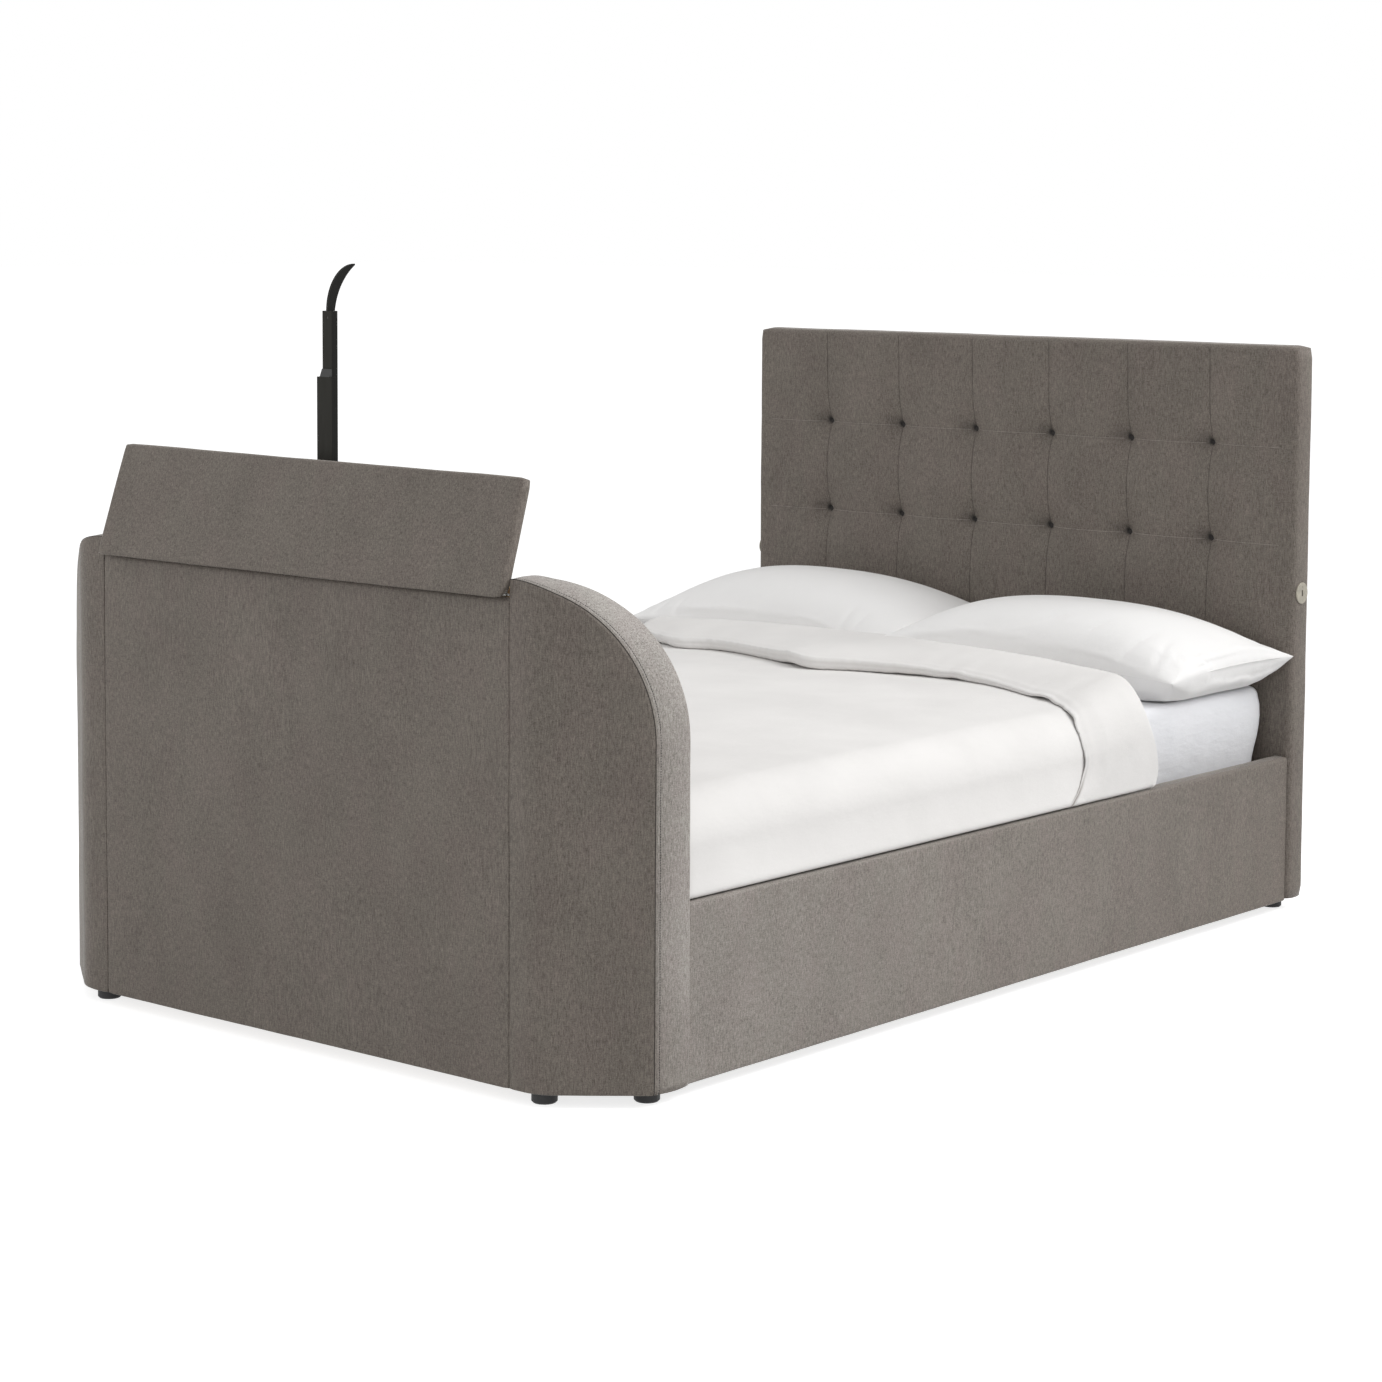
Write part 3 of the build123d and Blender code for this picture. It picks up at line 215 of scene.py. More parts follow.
@dataclass(frozen=True)
class WovenCloth:
    """Soft upholstery cloth in two close tones, with upright slubs and a light bloom on its pile. Meshes can
    paint light onto it, which lightens the cloth, and paint shade onto it, which darkens it nearly to black.
    """

    name: str = "upholstery_weave"
    dark: Tone = (82, 75, 68)
    light: Tone = (138, 130, 121)
    pitch: float = 1.5 * MM
    bloom: float = 1.0
    relief: float = 0.45 * MM
    warmth: Triple = (1.03, 0.965, 1.0)
    # How much lighter the cloth is painted where a mesh paints light onto it.
    nap_gain: Triple = (2.16, 2.33, 2.54)
    # The colour that painted shade darkens the cloth to.
    hollow: Tone = (14, 12, 12)

    def build(self) -> Material:
        """Builds the material.

        Returns:
            The cloth's material.
        """
        g = Graph(self.name)
        place = g.place()
        x, y, z = g.node("SeparateXYZ", vector=place).outputs
        turn = 2.0 * math.pi / self.pitch
        across = g.math("SINE", g.math("MULTIPLY", g.math("ADD", x, y), turn))
        upright = g.math("SINE", g.math("MULTIPLY", g.math("ADD", z, g.math("MULTIPLY", y, 0.35)), turn))
        weave = g.math("MULTIPLY", across, upright)
        streak = g.speckle(g.place((560.0, 560.0, 90.0)), 1.0, 2.0, 0.5)
        level = g.speckle(g.place((110.0, 110.0, 760.0)), 1.0, 2.0, 0.5)
        fleck = g.speckle(place, 520.0, 2.0, 0.6)
        cloud = g.speckle(g.place((9.0, 9.0, 5.0)), 1.0, 4.0, 0.6)
        tint = g.speckle(g.place((16.0, 16.0, 9.0)), 1.0, 3.0, 0.6)
        tone = g.weighted((streak, 0.40), (level, 0.18), (fleck, 0.40), (cloud, 0.12))
        tone = g.stretch(tone, 0.42, 0.68, 0.0, 1.0)
        colour = g.mix(tone, linear(self.dark), linear(self.light))
        warm = g.stretch(tint, 0.42, 0.62, 0.0, 0.4)
        colour = g.tinted(warm, colour, self.warmth)
        # Painted light: the cloth is painted lighter where a mesh paints light onto it, on the wings' border
        # strips and along the rails.
        nap = g.node("Attribute", {"attribute_name": "nap"}).outputs["Fac"]
        colour = g.tinted(nap, colour, self.nap_gain)
        # Painted shade: the cloth is darkened nearly to black where a mesh paints shade onto it, round the
        # headboard's tufts.
        shade = g.node("Attribute", {"attribute_name": "shade"}).outputs["Fac"]
        colour = g.mix(shade, colour, linear(self.hollow))
        height = g.weighted((weave, 0.3), (streak, 1.0), (fleck, 0.7))
        normal = g.bump(height, self.relief, 0.6)
        shader = g.node(
            "BsdfPrincipled",
            base_color=colour,
            roughness=g.stretch(fleck, 0.3, 0.7, 0.60, 0.72),
            normal=normal,
            sheen_weight=self.bloom,
            sheen_roughness=0.23,
            sheen_tint=linear((236, 233, 228)),
            specular_ior_level=0.42,
        )
        return g.finish(shader)


@dataclass(frozen=True)
class BeddingCloth:
    """White cotton with a fine weave and faint creases, darkened toward a warm brown by painted shade where
    a mesh paints it.
    """

    name: str = "white_percale"
    colour: Tone = (236, 234, 232)
    shade: Tone = (228, 226, 224)
    crease: float = 1.0
    sheen: float = 0.12
    thread: float = 0.55 * MM
    ruck_height: float = 3.2 * MM
    # Warm colour of the painted shade along the crease under the duvet's hem.
    hollow: Tone = (96, 82, 70)

    def build(self) -> Material:
        """Builds the material.

        Returns:
            The cloth's material.
        """
        g = Graph(self.name)
        place = g.place()
        x, y, z = g.node("SeparateXYZ", vector=place).outputs
        turn = 2.0 * math.pi / self.thread
        warp = g.math("SINE", g.math("MULTIPLY", x, turn))
        weft = g.math("SINE", g.math("MULTIPLY", g.math("ADD", y, z), turn))
        threads = g.math("MULTIPLY", warp, weft)
        slub = g.speckle(g.place((60.0, 900.0, 900.0)), 1.0, 2.0, 0.6)
        broad = g.speckle(place, 5.0, 3.0, 0.5)
        fine = g.speckle(g.place((22.0, 9.0, 16.0)), 1.0, 4.0, 0.62)
        colour = g.mix(g.stretch(broad, 0.3, 0.7, 0.0, 1.0), linear(self.colour), linear(self.shade))
        # Painted shade: the cotton is darkened toward a warm brown where a mesh paints shade onto it, along
        # the crease under the duvet's hem.
        crevice = g.node("Attribute", {"attribute_name": "shade"}).outputs["Fac"]
        colour = g.mix(crevice, colour, linear(self.hollow))
        height = g.weighted((threads, 0.03), (slub, 0.05))
        cloth = g.bump(height, 1.0 * MM, 0.35)
        ruck = g.speckle(g.place((52.0, 24.0, 80.0)), 1.0, 3.0, 0.55)
        creases = g.math("ADD", fine, g.math("MULTIPLY", ruck, 0.3 * (self.crease - 0.8)))
        normal = g.bump(creases, self.ruck_height * self.crease, 0.5, cloth)
        shader = g.node(
            "BsdfPrincipled",
            base_color=colour,
            roughness=g.stretch(slub, 0.3, 0.7, 0.82, 0.94),
            normal=normal,
            sheen_weight=self.sheen,
            sheen_roughness=0.5,
            specular_ior_level=0.22,
        )
        return g.finish(shader)


@dataclass(frozen=True)
class PowderCoat:
    """Black powder-coated steel, with softened edges and faint rubbing, and painted shade that darkens its
    sides turned toward +X nearly to black.
    """

    name: str = "black_powder_coat"
    colour: Tone = (46, 45, 41)
    worn: Tone = (62, 61, 56)
    roughness: float = 0.6
    edge: float = 0.7 * MM

    def build(self) -> Material:
        """Builds the material.

        Returns:
            The paint's material.
        """
        g = Graph(self.name)
        place = g.place()
        peel = g.speckle(place, 900.0, 2.0, 0.5)
        rub = g.speckle(g.place((120.0, 120.0, 14.0)), 1.0, 4.0, 0.6)
        mask = g.stretch(rub, 0.60, 0.78, 0.0, 0.45)
        colour = g.mix(mask, linear(self.colour), linear(self.worn))
        # Painted shade: sides turned toward +X are painted near-black.
        shaded_side = g.node("SeparateXYZ", vector=g.node("NewGeometry").outputs["Normal"]).outputs[0]
        colour = g.mix(g.stretch(shaded_side, 0.6, 0.9, 0.0, 0.85), colour, linear((12, 12, 11)))
        soft = g.node("Bevel", {"samples": 6}, radius=self.edge).outputs[0]
        normal = g.bump(peel, 0.06 * MM, 0.6, soft)
        rough = g.math("ADD", g.stretch(rub, 0.3, 0.7, -0.06, 0.08), self.roughness)
        shader = g.node(
            "BsdfPrincipled", base_color=colour, roughness=rough, normal=normal, specular_ior_level=0.14
        )
        return g.finish(shader)


@dataclass(frozen=True)
class BareSteel:
    """Rolled or plated steel with fine drawn lines."""

    name: str = "rolled_steel"
    colour: Tone = (176, 175, 172)
    roughness: float = 0.34
    lines: Triple = (12.0, 700.0, 700.0)

    def build(self) -> Material:
        """Builds the material.

        Returns:
            The steel's material.
        """
        g = Graph(self.name)
        drawn = g.speckle(g.place(self.lines), 1.0, 3.0, 0.6)
        stain = g.speckle(g.place(), 40.0, 3.0, 0.6)
        dull = linear([c * 0.82 for c in self.colour])
        colour = g.mix(g.stretch(stain, 0.35, 0.65, 0.0, 0.7), linear(self.colour), dull)
        soft = g.node("Bevel", {"samples": 4}, radius=0.4 * MM).outputs[0]
        normal = g.bump(drawn, 0.05 * MM, 0.5, soft)
        rough = g.math("ADD", g.stretch(drawn, 0.3, 0.7, -0.07, 0.10), self.roughness)
        shader = g.node("BsdfPrincipled", base_color=colour, roughness=rough, normal=normal, metallic=1.0)
        return g.finish(shader)


@dataclass(frozen=True)
class MouldedPlastic:
    """Moulded plastic with a fine spark-eroded grain."""

    name: str = "black_nylon"
    colour: Tone = (30, 30, 31)
    roughness: float = 0.55
    grain: float = 1400.0

    def build(self) -> Material:
        """Builds the material.

        Returns:
            The plastic's material.
        """
        g = Graph(self.name)
        place = g.place()
        grain = g.speckle(place, self.grain, 2.0, 0.6)
        haze = g.speckle(place, 60.0, 3.0, 0.5)
        light = linear([min(255.0, c * 1.12 + 4.0) for c in self.colour])
        colour = g.mix(g.stretch(haze, 0.35, 0.65, 0.0, 0.8), linear(self.colour), light)
        soft = g.node("Bevel", {"samples": 4}, radius=0.6 * MM).outputs[0]
        normal = g.bump(grain, 0.05 * MM, 0.6, soft)
        rough = g.math("ADD", g.stretch(haze, 0.3, 0.7, -0.05, 0.08), self.roughness)
        shader = g.node("BsdfPrincipled", base_color=colour, roughness=rough, normal=normal)
        return g.finish(shader)


class Grain(Enum):
    """The way that a timber's grain runs."""

    ACROSS = (1.2, 38.0, 60.0)
    ALONG = (38.0, 1.2, 60.0)
    UPRIGHT = (38.0, 60.0, 1.2)


@dataclass(frozen=True)
class Timber:
    """Planed softwood or birch, with growth lines along one axis."""

    name: str = "planed_pine"
    light: Tone = (214, 184, 142)
    dark: Tone = (178, 138, 92)
    grain: Grain = Grain.ALONG

    def build(self) -> Material:
        """Builds the material.

        Returns:
            The timber's material.
        """
        g = Graph(self.name)
        sx, sy, sz = self.grain.value
        warp = g.speckle(g.place((sx * 0.5, sy * 0.5, sz * 0.5)), 1.0, 3.0, 0.5)
        rings = g.speckle(g.place((sx, sy, sz)), 1.6, 6.0, 0.66)
        lines = g.math("SINE", g.math("MULTIPLY", g.math("ADD", rings, g.math("MULTIPLY", warp, 0.7)), 34.0))
        fibre = g.speckle(g.place((sx * 14.0, sy * 14.0, sz * 14.0)), 1.0, 2.0, 0.6)
        tone = g.stretch(g.math("ADD", g.math("MULTIPLY", lines, 0.3), fibre), 0.1, 0.95, 0.0, 1.0)
        colour = g.mix(tone, linear(self.light), linear(self.dark))
        normal = g.bump(fibre, 0.15 * MM, 0.5)
        roughness = g.stretch(fibre, 0.3, 0.7, 0.55, 0.75)
        shader = g.node("BsdfPrincipled", base_color=colour, roughness=roughness, normal=normal)
        return g.finish(shader)


@dataclass(frozen=True)
class ChipBoard:
    """Raw particle board with pressed chips."""

    name: str = "chip_board"
    light: Tone = (196, 166, 122)
    dark: Tone = (150, 116, 76)

    def build(self) -> Material:
        """Builds the material.

        Returns:
            The board's material.
        """
        g = Graph(self.name)
        place = g.place()
        chips = g.node("TexVoronoi", vector=place, scale=160.0)
        fine = g.speckle(place, 420.0, 3.0, 0.65)
        tone = g.node("SeparateColor", color=chips.outputs["Color"]).outputs[0]
        tone = g.weighted((tone, 0.6), (fine, 0.4))
        colour = g.mix(tone, linear(self.light), linear(self.dark))
        normal = g.bump(fine, 0.3 * MM, 0.5)
        shader = g.node("BsdfPrincipled", base_color=colour, roughness=0.8, normal=normal)
        return g.finish(shader)


@dataclass(frozen=True)
class LiningCloth:
    """Thin black non-woven cloth."""

    name: str = "black_lining"
    colour: Tone = (30, 30, 31)

    def build(self) -> Material:
        """Builds the material.

        Returns:
            The lining's material.
        """
        g = Graph(self.name)
        place = g.place()
        fibre = g.speckle(place, 700.0, 4.0, 0.75)
        dots = g.node("TexVoronoi", vector=place, scale=420.0).outputs["Distance"]
        colour = g.mix(g.stretch(fibre, 0.35, 0.65, 0.0, 1.0), linear(self.colour), linear((52, 52, 53)))
        normal = g.bump(g.math("ADD", fibre, dots), 0.2 * MM, 0.6)
        shader = g.node("BsdfPrincipled", base_color=colour, roughness=0.92, normal=normal, sheen_weight=0.2)
        return g.finish(shader)


class Finishes:
    """Every finish of the bed, built once."""

    def __init__(self) -> None:
        """Builds the materials."""
        self.cloth = WovenCloth().build()
        self.seam = WovenCloth("seam_thread", (64, 59, 56), (96, 90, 84), 0.6 * MM, 0.1).build()
        # Near-black cloth: painted shade on the tuft buttons and along the wings' seams, and the dark thread
        # of the wings' stitches.
        self.shade = WovenCloth("tuft_cloth", (22, 19, 17), (36, 32, 29), 0.9 * MM, 0.0).build()
        # Pale thread: a painted highlight along the headboard's level seams.
        self.pale = WovenCloth("pale_thread", (126, 119, 112), (172, 164, 156), 0.6 * MM, 0.4).build()
        self.bedding = BeddingCloth().build()
        # The pillows' cotton is the duvet's, painted lighter to make up for the shade the pillows lie in.
        self.pillow = BeddingCloth("pillow_percale", (248, 247, 246), (244, 243, 242)).build()
        self.sheet = BeddingCloth("fitted_sheet", (236, 236, 239), (230, 231, 234), 1.9).build()
        black = PowderCoat().build()
        nylon = MouldedPlastic().build()
        pine = Timber().build()
        self.by_slot = {
            "upholstery": self.cloth,
            "board": ChipBoard().build(),
            "timber": pine,
            "slat_wood": Timber("birch_slat", (226, 202, 160), (198, 166, 120), Grain.ACROSS).build(),
            "lined_board": LiningCloth().build(),
            "backing_cloth": LiningCloth("black_backing").build(),
            "glide_plastic": nylon,
            "port_plastic": MouldedPlastic("beige_bezel", (160, 154, 140), 0.38).build(),
            "zinc_steel": BareSteel("black_zinc", (78, 77, 74), 0.46, (200.0, 200.0, 200.0)).build(),
            "hinge_steel": BareSteel().build(),
            "spindle_steel": BareSteel(
                "ground_spindle", (168, 168, 166), 0.28, (500.0, 500.0, 900.0)
            ).build(),
            "lift_paint": black,
            "pad_plastic": MouldedPlastic("slide_pad", (38, 38, 37), 0.5).build(),
            "drive_plastic": MouldedPlastic("housing_plastic", (40, 41, 43), 0.5).build(),
            "buffer_rubber": MouldedPlastic("buffer_rubber", (26, 26, 26), 0.8, 500.0).build(),
            "mattress_cloth": self.sheet,
            "bedding_cloth": self.bedding,
        }


# Mesh tools


class Shell:
    """Collects grids of points and welds them into one smooth mesh."""

    def __init__(self) -> None:
        """Starts with nothing in it."""
        self.points: list[Array] = []
        self.faces: list[tuple[int, ...]] = []
        self.count = 0

    def grid(self, points: Array, closed: bool = False) -> None:
        """Adds a grid.

        Args:
            points: Array of rows, columns and xyz.
            closed: Whether the last column joins the first.
        """
        rows, columns = points.shape[:2]
        base = self.count
        self.points.append(points.reshape(-1, 3))
        self.count += rows * columns
        last = columns if closed else columns - 1
        for i in range(rows - 1):
            for j in range(last):
                k = (j + 1) % columns
                a = base + i * columns
                b = a + columns
                self.faces.append((a + j, a + k, b + k, b + j))

    def fan(self, ring: Array) -> None:
        """Closes a ring of points with triangles to its middle.

        Args:
            ring: The ring's points in order.
        """
        base = self.count
        middle = ring.mean(axis=0, keepdims=True)
        self.points.append(np.concatenate([ring, middle]))
        n = len(ring)
        self.count += n + 1
        for j in range(n):
            self.faces.append((base + j, base + (j + 1) % n, base + n))

    def take(self, other: "Shell") -> None:
        """Adds everything that another shell holds.

        Args:
            other: The other shell.
        """
        self.faces += [tuple(i + self.count for i in f) for f in other.faces]
        self.points += other.points
        self.count += other.count

    def build(self, name: str, material: Material, weld: float = 0.02 * MM) -> Piece:
        """Makes the object.

        Args:
            name: The object's name.
            material: Its material.
            weld: Distance under which points join.

        Returns:
            The object, linked to the scene, with smooth faces that point outward.
        """
        mesh = bpy.data.meshes.new(name)
        mesh.from_pydata(np.concatenate(self.points).tolist(), [], self.faces)
        work = bmesh.new()
        work.from_mesh(mesh)
        bmesh.ops.remove_doubles(work, verts=work.verts, dist=weld)
        bmesh.ops.dissolve_degenerate(work, edges=work.edges, dist=weld * 0.5)
        bmesh.ops.recalc_face_normals(work, faces=work.faces)
        work.to_mesh(mesh)
        work.free()
        mesh.shade_smooth()
        mesh.materials.append(material)
        made = bpy.data.objects.new(name, mesh)
        bpy.context.scene.collection.objects.link(made)
        return made


def ripple(made: Piece, height: float, size: float, seed: float = 0.0) -> None:
    """Moves a mesh's points along their normals by smooth noise.

    Args:
        made: The object to change.
        height: Largest move.
        size: Rough width of a bump.
        seed: Shifts the noise.
    """
    mesh = made.data
    count = len(mesh.vertices)
    points = np.empty(count * 3)
    mesh.vertices.foreach_get("co", points)
    points = points.reshape(-1, 3)
    normals = np.array([n.vector for n in mesh.vertex_normals])
    moved = np.array([noise.noise(Vector(p / size) + Vector((seed, seed * 1.7, -seed))) for p in points])
    points += normals * (moved * height)[:, None]
    mesh.vertices.foreach_set("co", points.ravel())
    mesh.update()


def xyz(x: Array, y: Array, z: Array) -> Array:
    """Joins three coordinates into points."""
    return np.stack([x, y, z], axis=-1)


def spaced(low: float, high: float, step: float) -> Array:
    """Even values from low to high, about a step apart."""
    return np.linspace(low, high, max(2, int(round((high - low) / step)) + 1))


def edge_profile(depth: float, front: float, back: float, crown: float = 0.0, groove: float = 0.0) -> Array:
    """The way round a slab's edge, as pairs of an outward offset and a depth.

    Args:
        depth: The slab's thickness.
        front: Radius at the front edge.
        back: Radius at the back edge.
        crown: How far the side stands out in its middle.
        groove: Depth of a sewn seam just behind the front edge.

    Returns:
        The pairs, from the front face's rim to the back face's rim.
    """
    rows: list[Pair] = []
    for angle in np.linspace(0.0, math.pi / 2, 7):
        rows.append((front * math.sin(angle), front * (1.0 - math.cos(angle))))
    if groove > 0.0:
        at = front + 0.4 * MM
        rows.append((front - groove * 0.5, at + 0.5 * MM))
        rows.append((front - groove, at + 1.1 * MM))
        rows.append((front - groove * 0.4, at + 1.8 * MM))
        rows.append((front + groove * 0.15, at + 3.2 * MM))
        start = at + 3.2 * MM
    else:
        start = front
    stop = depth - back
    for share in np.linspace(0.0, 1.0, 9)[1:-1]:
        rows.append((front + crown * 4.0 * share * (1.0 - share), start + (stop - start) * share))
    for angle in np.linspace(0.0, math.pi / 2, 6):
        rows.append((front - back + back * math.cos(angle), depth - back + back * math.sin(angle)))
    rows.append((0.0, depth))
    return np.array(rows)


def loop_of(grid: Array) -> Array:
    """A grid's rim as one loop of points."""
    return np.concatenate([grid[:, 0], grid[-1, 1:], grid[-2::-1, -1], grid[0, -2:0:-1]])


def outward(loop: Array) -> Array:
    """Unit normals that point out of a flat loop.

    Args:
        loop: The loop's points in order.

    Returns:
        A normal for each point.
    """
    ahead = np.roll(loop, -1, axis=0) - loop
    behind = loop - np.roll(loop, 1, axis=0)
    ahead /= np.maximum(np.linalg.norm(ahead, axis=1, keepdims=True), 1e-9)
    behind /= np.maximum(np.linalg.norm(behind, axis=1, keepdims=True), 1e-9)
    along = ahead + behind
    along /= np.maximum(np.linalg.norm(along, axis=1, keepdims=True), 1e-9)
    normals = np.stack([along[:, 1], -along[:, 0]], axis=1)
    following = np.roll(loop, -1, axis=0)
    area = 0.5 * np.sum(loop[:, 0] * following[:, 1] - following[:, 0] * loop[:, 1])
    return normals if area > 0.0 else -normals


def slab(grid: Array, profile: Array, place: Place, rim: float | None = None) -> Shell:
    """A padded slab: a front face, a rounded edge all round, and a back.

    Args:
        grid: The front face's points in its own plane, already set in by the edge radius.
        profile: The way round the edge, from edge_profile.
        place: Turns points of the plane and their depths into xyz.
        rim: Width of a back that only has a rim, or None for a whole back.

    Returns:
        The shell, ready to build.
    """
    shell = Shell()
    shell.grid(place(grid, np.zeros(grid.shape[:2])))
    loop = loop_of(grid)
    normals = outward(loop)
    rows = [place(loop + normals * offset, np.full(len(loop), depth)) for offset, depth in profile]
    depth = profile[-1][1]
    if rim is None:
        shell.grid(np.stack(rows), closed=True)
        shell.grid(place(grid, np.full(grid.shape[:2], depth)))
    else:
        rows.append(place(loop - normals * rim, np.full(len(loop), depth)))
        rows.append(place(loop - normals * rim, np.full(len(loop), depth - 3.0 * MM)))
        shell.grid(np.stack(rows), closed=True)
    return shell


def coons(bottom: Array, top: Array, left: Array, right: Array) -> Array:
    """A grid between four edges: bottom and top run the same way, and so do left and right.

    Args:
        bottom: Lower edge, from left to right.
        top: Upper edge.
        left: Left edge, from the bottom up.
        right: Right edge.

    Returns:
        The grid.
    """
    u = np.linspace(0.0, 1.0, len(bottom))[:, None, None]
    v = np.linspace(0.0, 1.0, len(left))[None, :, None]
    ruled = (1 - v) * bottom[:, None] + v * top[:, None] + (1 - u) * left[None] + u * right[None]
    corners = (1 - u) * (1 - v) * bottom[0] + u * (1 - v) * bottom[-1]
    corners = corners + (1 - u) * v * top[0] + u * v * top[-1]
    return ruled - corners


def resample(points: Array, count: int) -> Array:
    """Points evenly spread along a polyline.

    Args:
        points: The polyline.
        count: Number of points wanted.

    Returns:
        The new points.
    """
    steps = np.linalg.norm(np.diff(points, axis=0), axis=1)
    length = np.concatenate([[0.0], np.cumsum(steps)])
    wanted = np.linspace(0.0, length[-1], count)
    return np.stack([np.interp(wanted, length, points[:, k]) for k in range(points.shape[1])], axis=1)


def tube(path: Array, radius: float, sides: int = 8) -> Shell:
    """A round tube along a path, with closed ends.

    Args:
        path: The tube's middle line.
        radius: Its radius.
        sides: Number of flat sides.

    Returns:
        The shell.
    """
    shell = Shell()
    tangent = np.gradient(path, axis=0)
    tangent /= np.maximum(np.linalg.norm(tangent, axis=1, keepdims=True), 1e-9)
    guide = np.array([0.31, 0.17, 0.93])
    first = np.cross(tangent, guide)
    first /= np.linalg.norm(first, axis=1, keepdims=True)
    second = np.cross(tangent, first)
    angles = np.linspace(0.0, 2.0 * math.pi, sides, endpoint=False)
    ring = first[:, None] * np.cos(angles)[None, :, None] + second[:, None] * np.sin(angles)[None, :, None]
    points = path[:, None] + radius * ring
    shell.grid(points, closed=True)
    shell.fan(points[0])
    shell.fan(points[-1])
    return shell


def stitches(path: Array, normals: Array, pitch: float, length: float, radius: float, sink: float) -> Shell:
    """A row of short sewn stitches.

    Args:
        path: Points along the seam, closely spaced.
        normals: The surface's normal at each.
        pitch: Distance from one stitch to the next.
        length: A stitch's length.
        radius: Half its thickness.
        sink: How far it lies under the surface.

    Returns:
        The shell of all the stitches.
    """
    shell = Shell()
    steps = np.linalg.norm(np.diff(path, axis=0), axis=1)
    total = np.concatenate([[0.0], np.cumsum(steps)])
    starts = np.arange(pitch * 0.5, total[-1] - length, pitch)
    angles = np.linspace(0.0, 2.0 * math.pi, 5, endpoint=False)
    shares = np.array([0.0, 0.12, 0.5, 0.88, 1.0])
    widths = np.array([0.15, 0.8, 1.0, 0.8, 0.15])
    for start in starts:
        where = start + shares * length
        points = np.stack([np.interp(where, total, path[:, k]) for k in range(3)], axis=1)
        upward = np.array([np.interp(start, total, normals[:, k]) for k in range(3)])
        upward /= np.linalg.norm(upward)
        along = points[-1] - points[0]
        along /= np.linalg.norm(along)
        sideways = np.cross(along, upward)
        lift = (-sink + radius * 0.6 * np.sin(shares * math.pi))[:, None] * upward
        ring = sideways[None] * np.cos(angles)[:, None] + upward[None] * np.sin(angles)[:, None] * 0.7
        swept = ring[None] * (radius * widths)[:, None, None]
        shell.grid(points[:, None] + lift[:, None] + swept, closed=True)
    return shell


def snap(made: Piece, path: Array) -> tuple[Array, Array]:
    """Moves a path onto an object's surface.

    Args:
        made: The object.
        path: Points near its surface.

    Returns:
        The moved points and the surface's normals there.
    """
    tree = BVHTree.FromObject(made, bpy.context.evaluated_depsgraph_get())
    found = [tree.find_nearest(Vector(point)) for point in path]
    points = np.array([hit[0] for hit in found])
    normals = np.array([hit[1] for hit in found])
    wide = 7
    kernel = np.ones(wide) / wide
    for k in range(3):
        padded = np.pad(normals[:, k], wide // 2, mode="edge")
        normals[:, k] = np.convolve(padded, kernel, mode="valid")
    normals /= np.maximum(np.linalg.norm(normals, axis=1, keepdims=True), 1e-9)
    return points, normals


def ride(made: Piece, body: str, slot: str, *nodes: str) -> Piece:
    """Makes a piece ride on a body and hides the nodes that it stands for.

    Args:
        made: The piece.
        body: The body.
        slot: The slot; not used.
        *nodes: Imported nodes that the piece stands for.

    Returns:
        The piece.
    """
    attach(made, body)
    if nodes:
        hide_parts(*nodes)
    return made


# The bed's pieces


@dataclass
class Datum:
    """The places that the dressed pieces share, in metres."""

    front_y: float = 0.0
    mattress_top: float = 0.0

    @classmethod
    def read(cls) -> "Datum":
        """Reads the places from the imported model.

        Returns:
            The filled datum.
        """
        _, mattress_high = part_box("mattress")
        head_low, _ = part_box("headboard_cover")
        return cls(head_low.y, mattress_high.z)

    def y(self, millimetres: float) -> float:
        """The Y of a place measured in millimetres from the headboard's front face."""
        return self.front_y + millimetres * MM


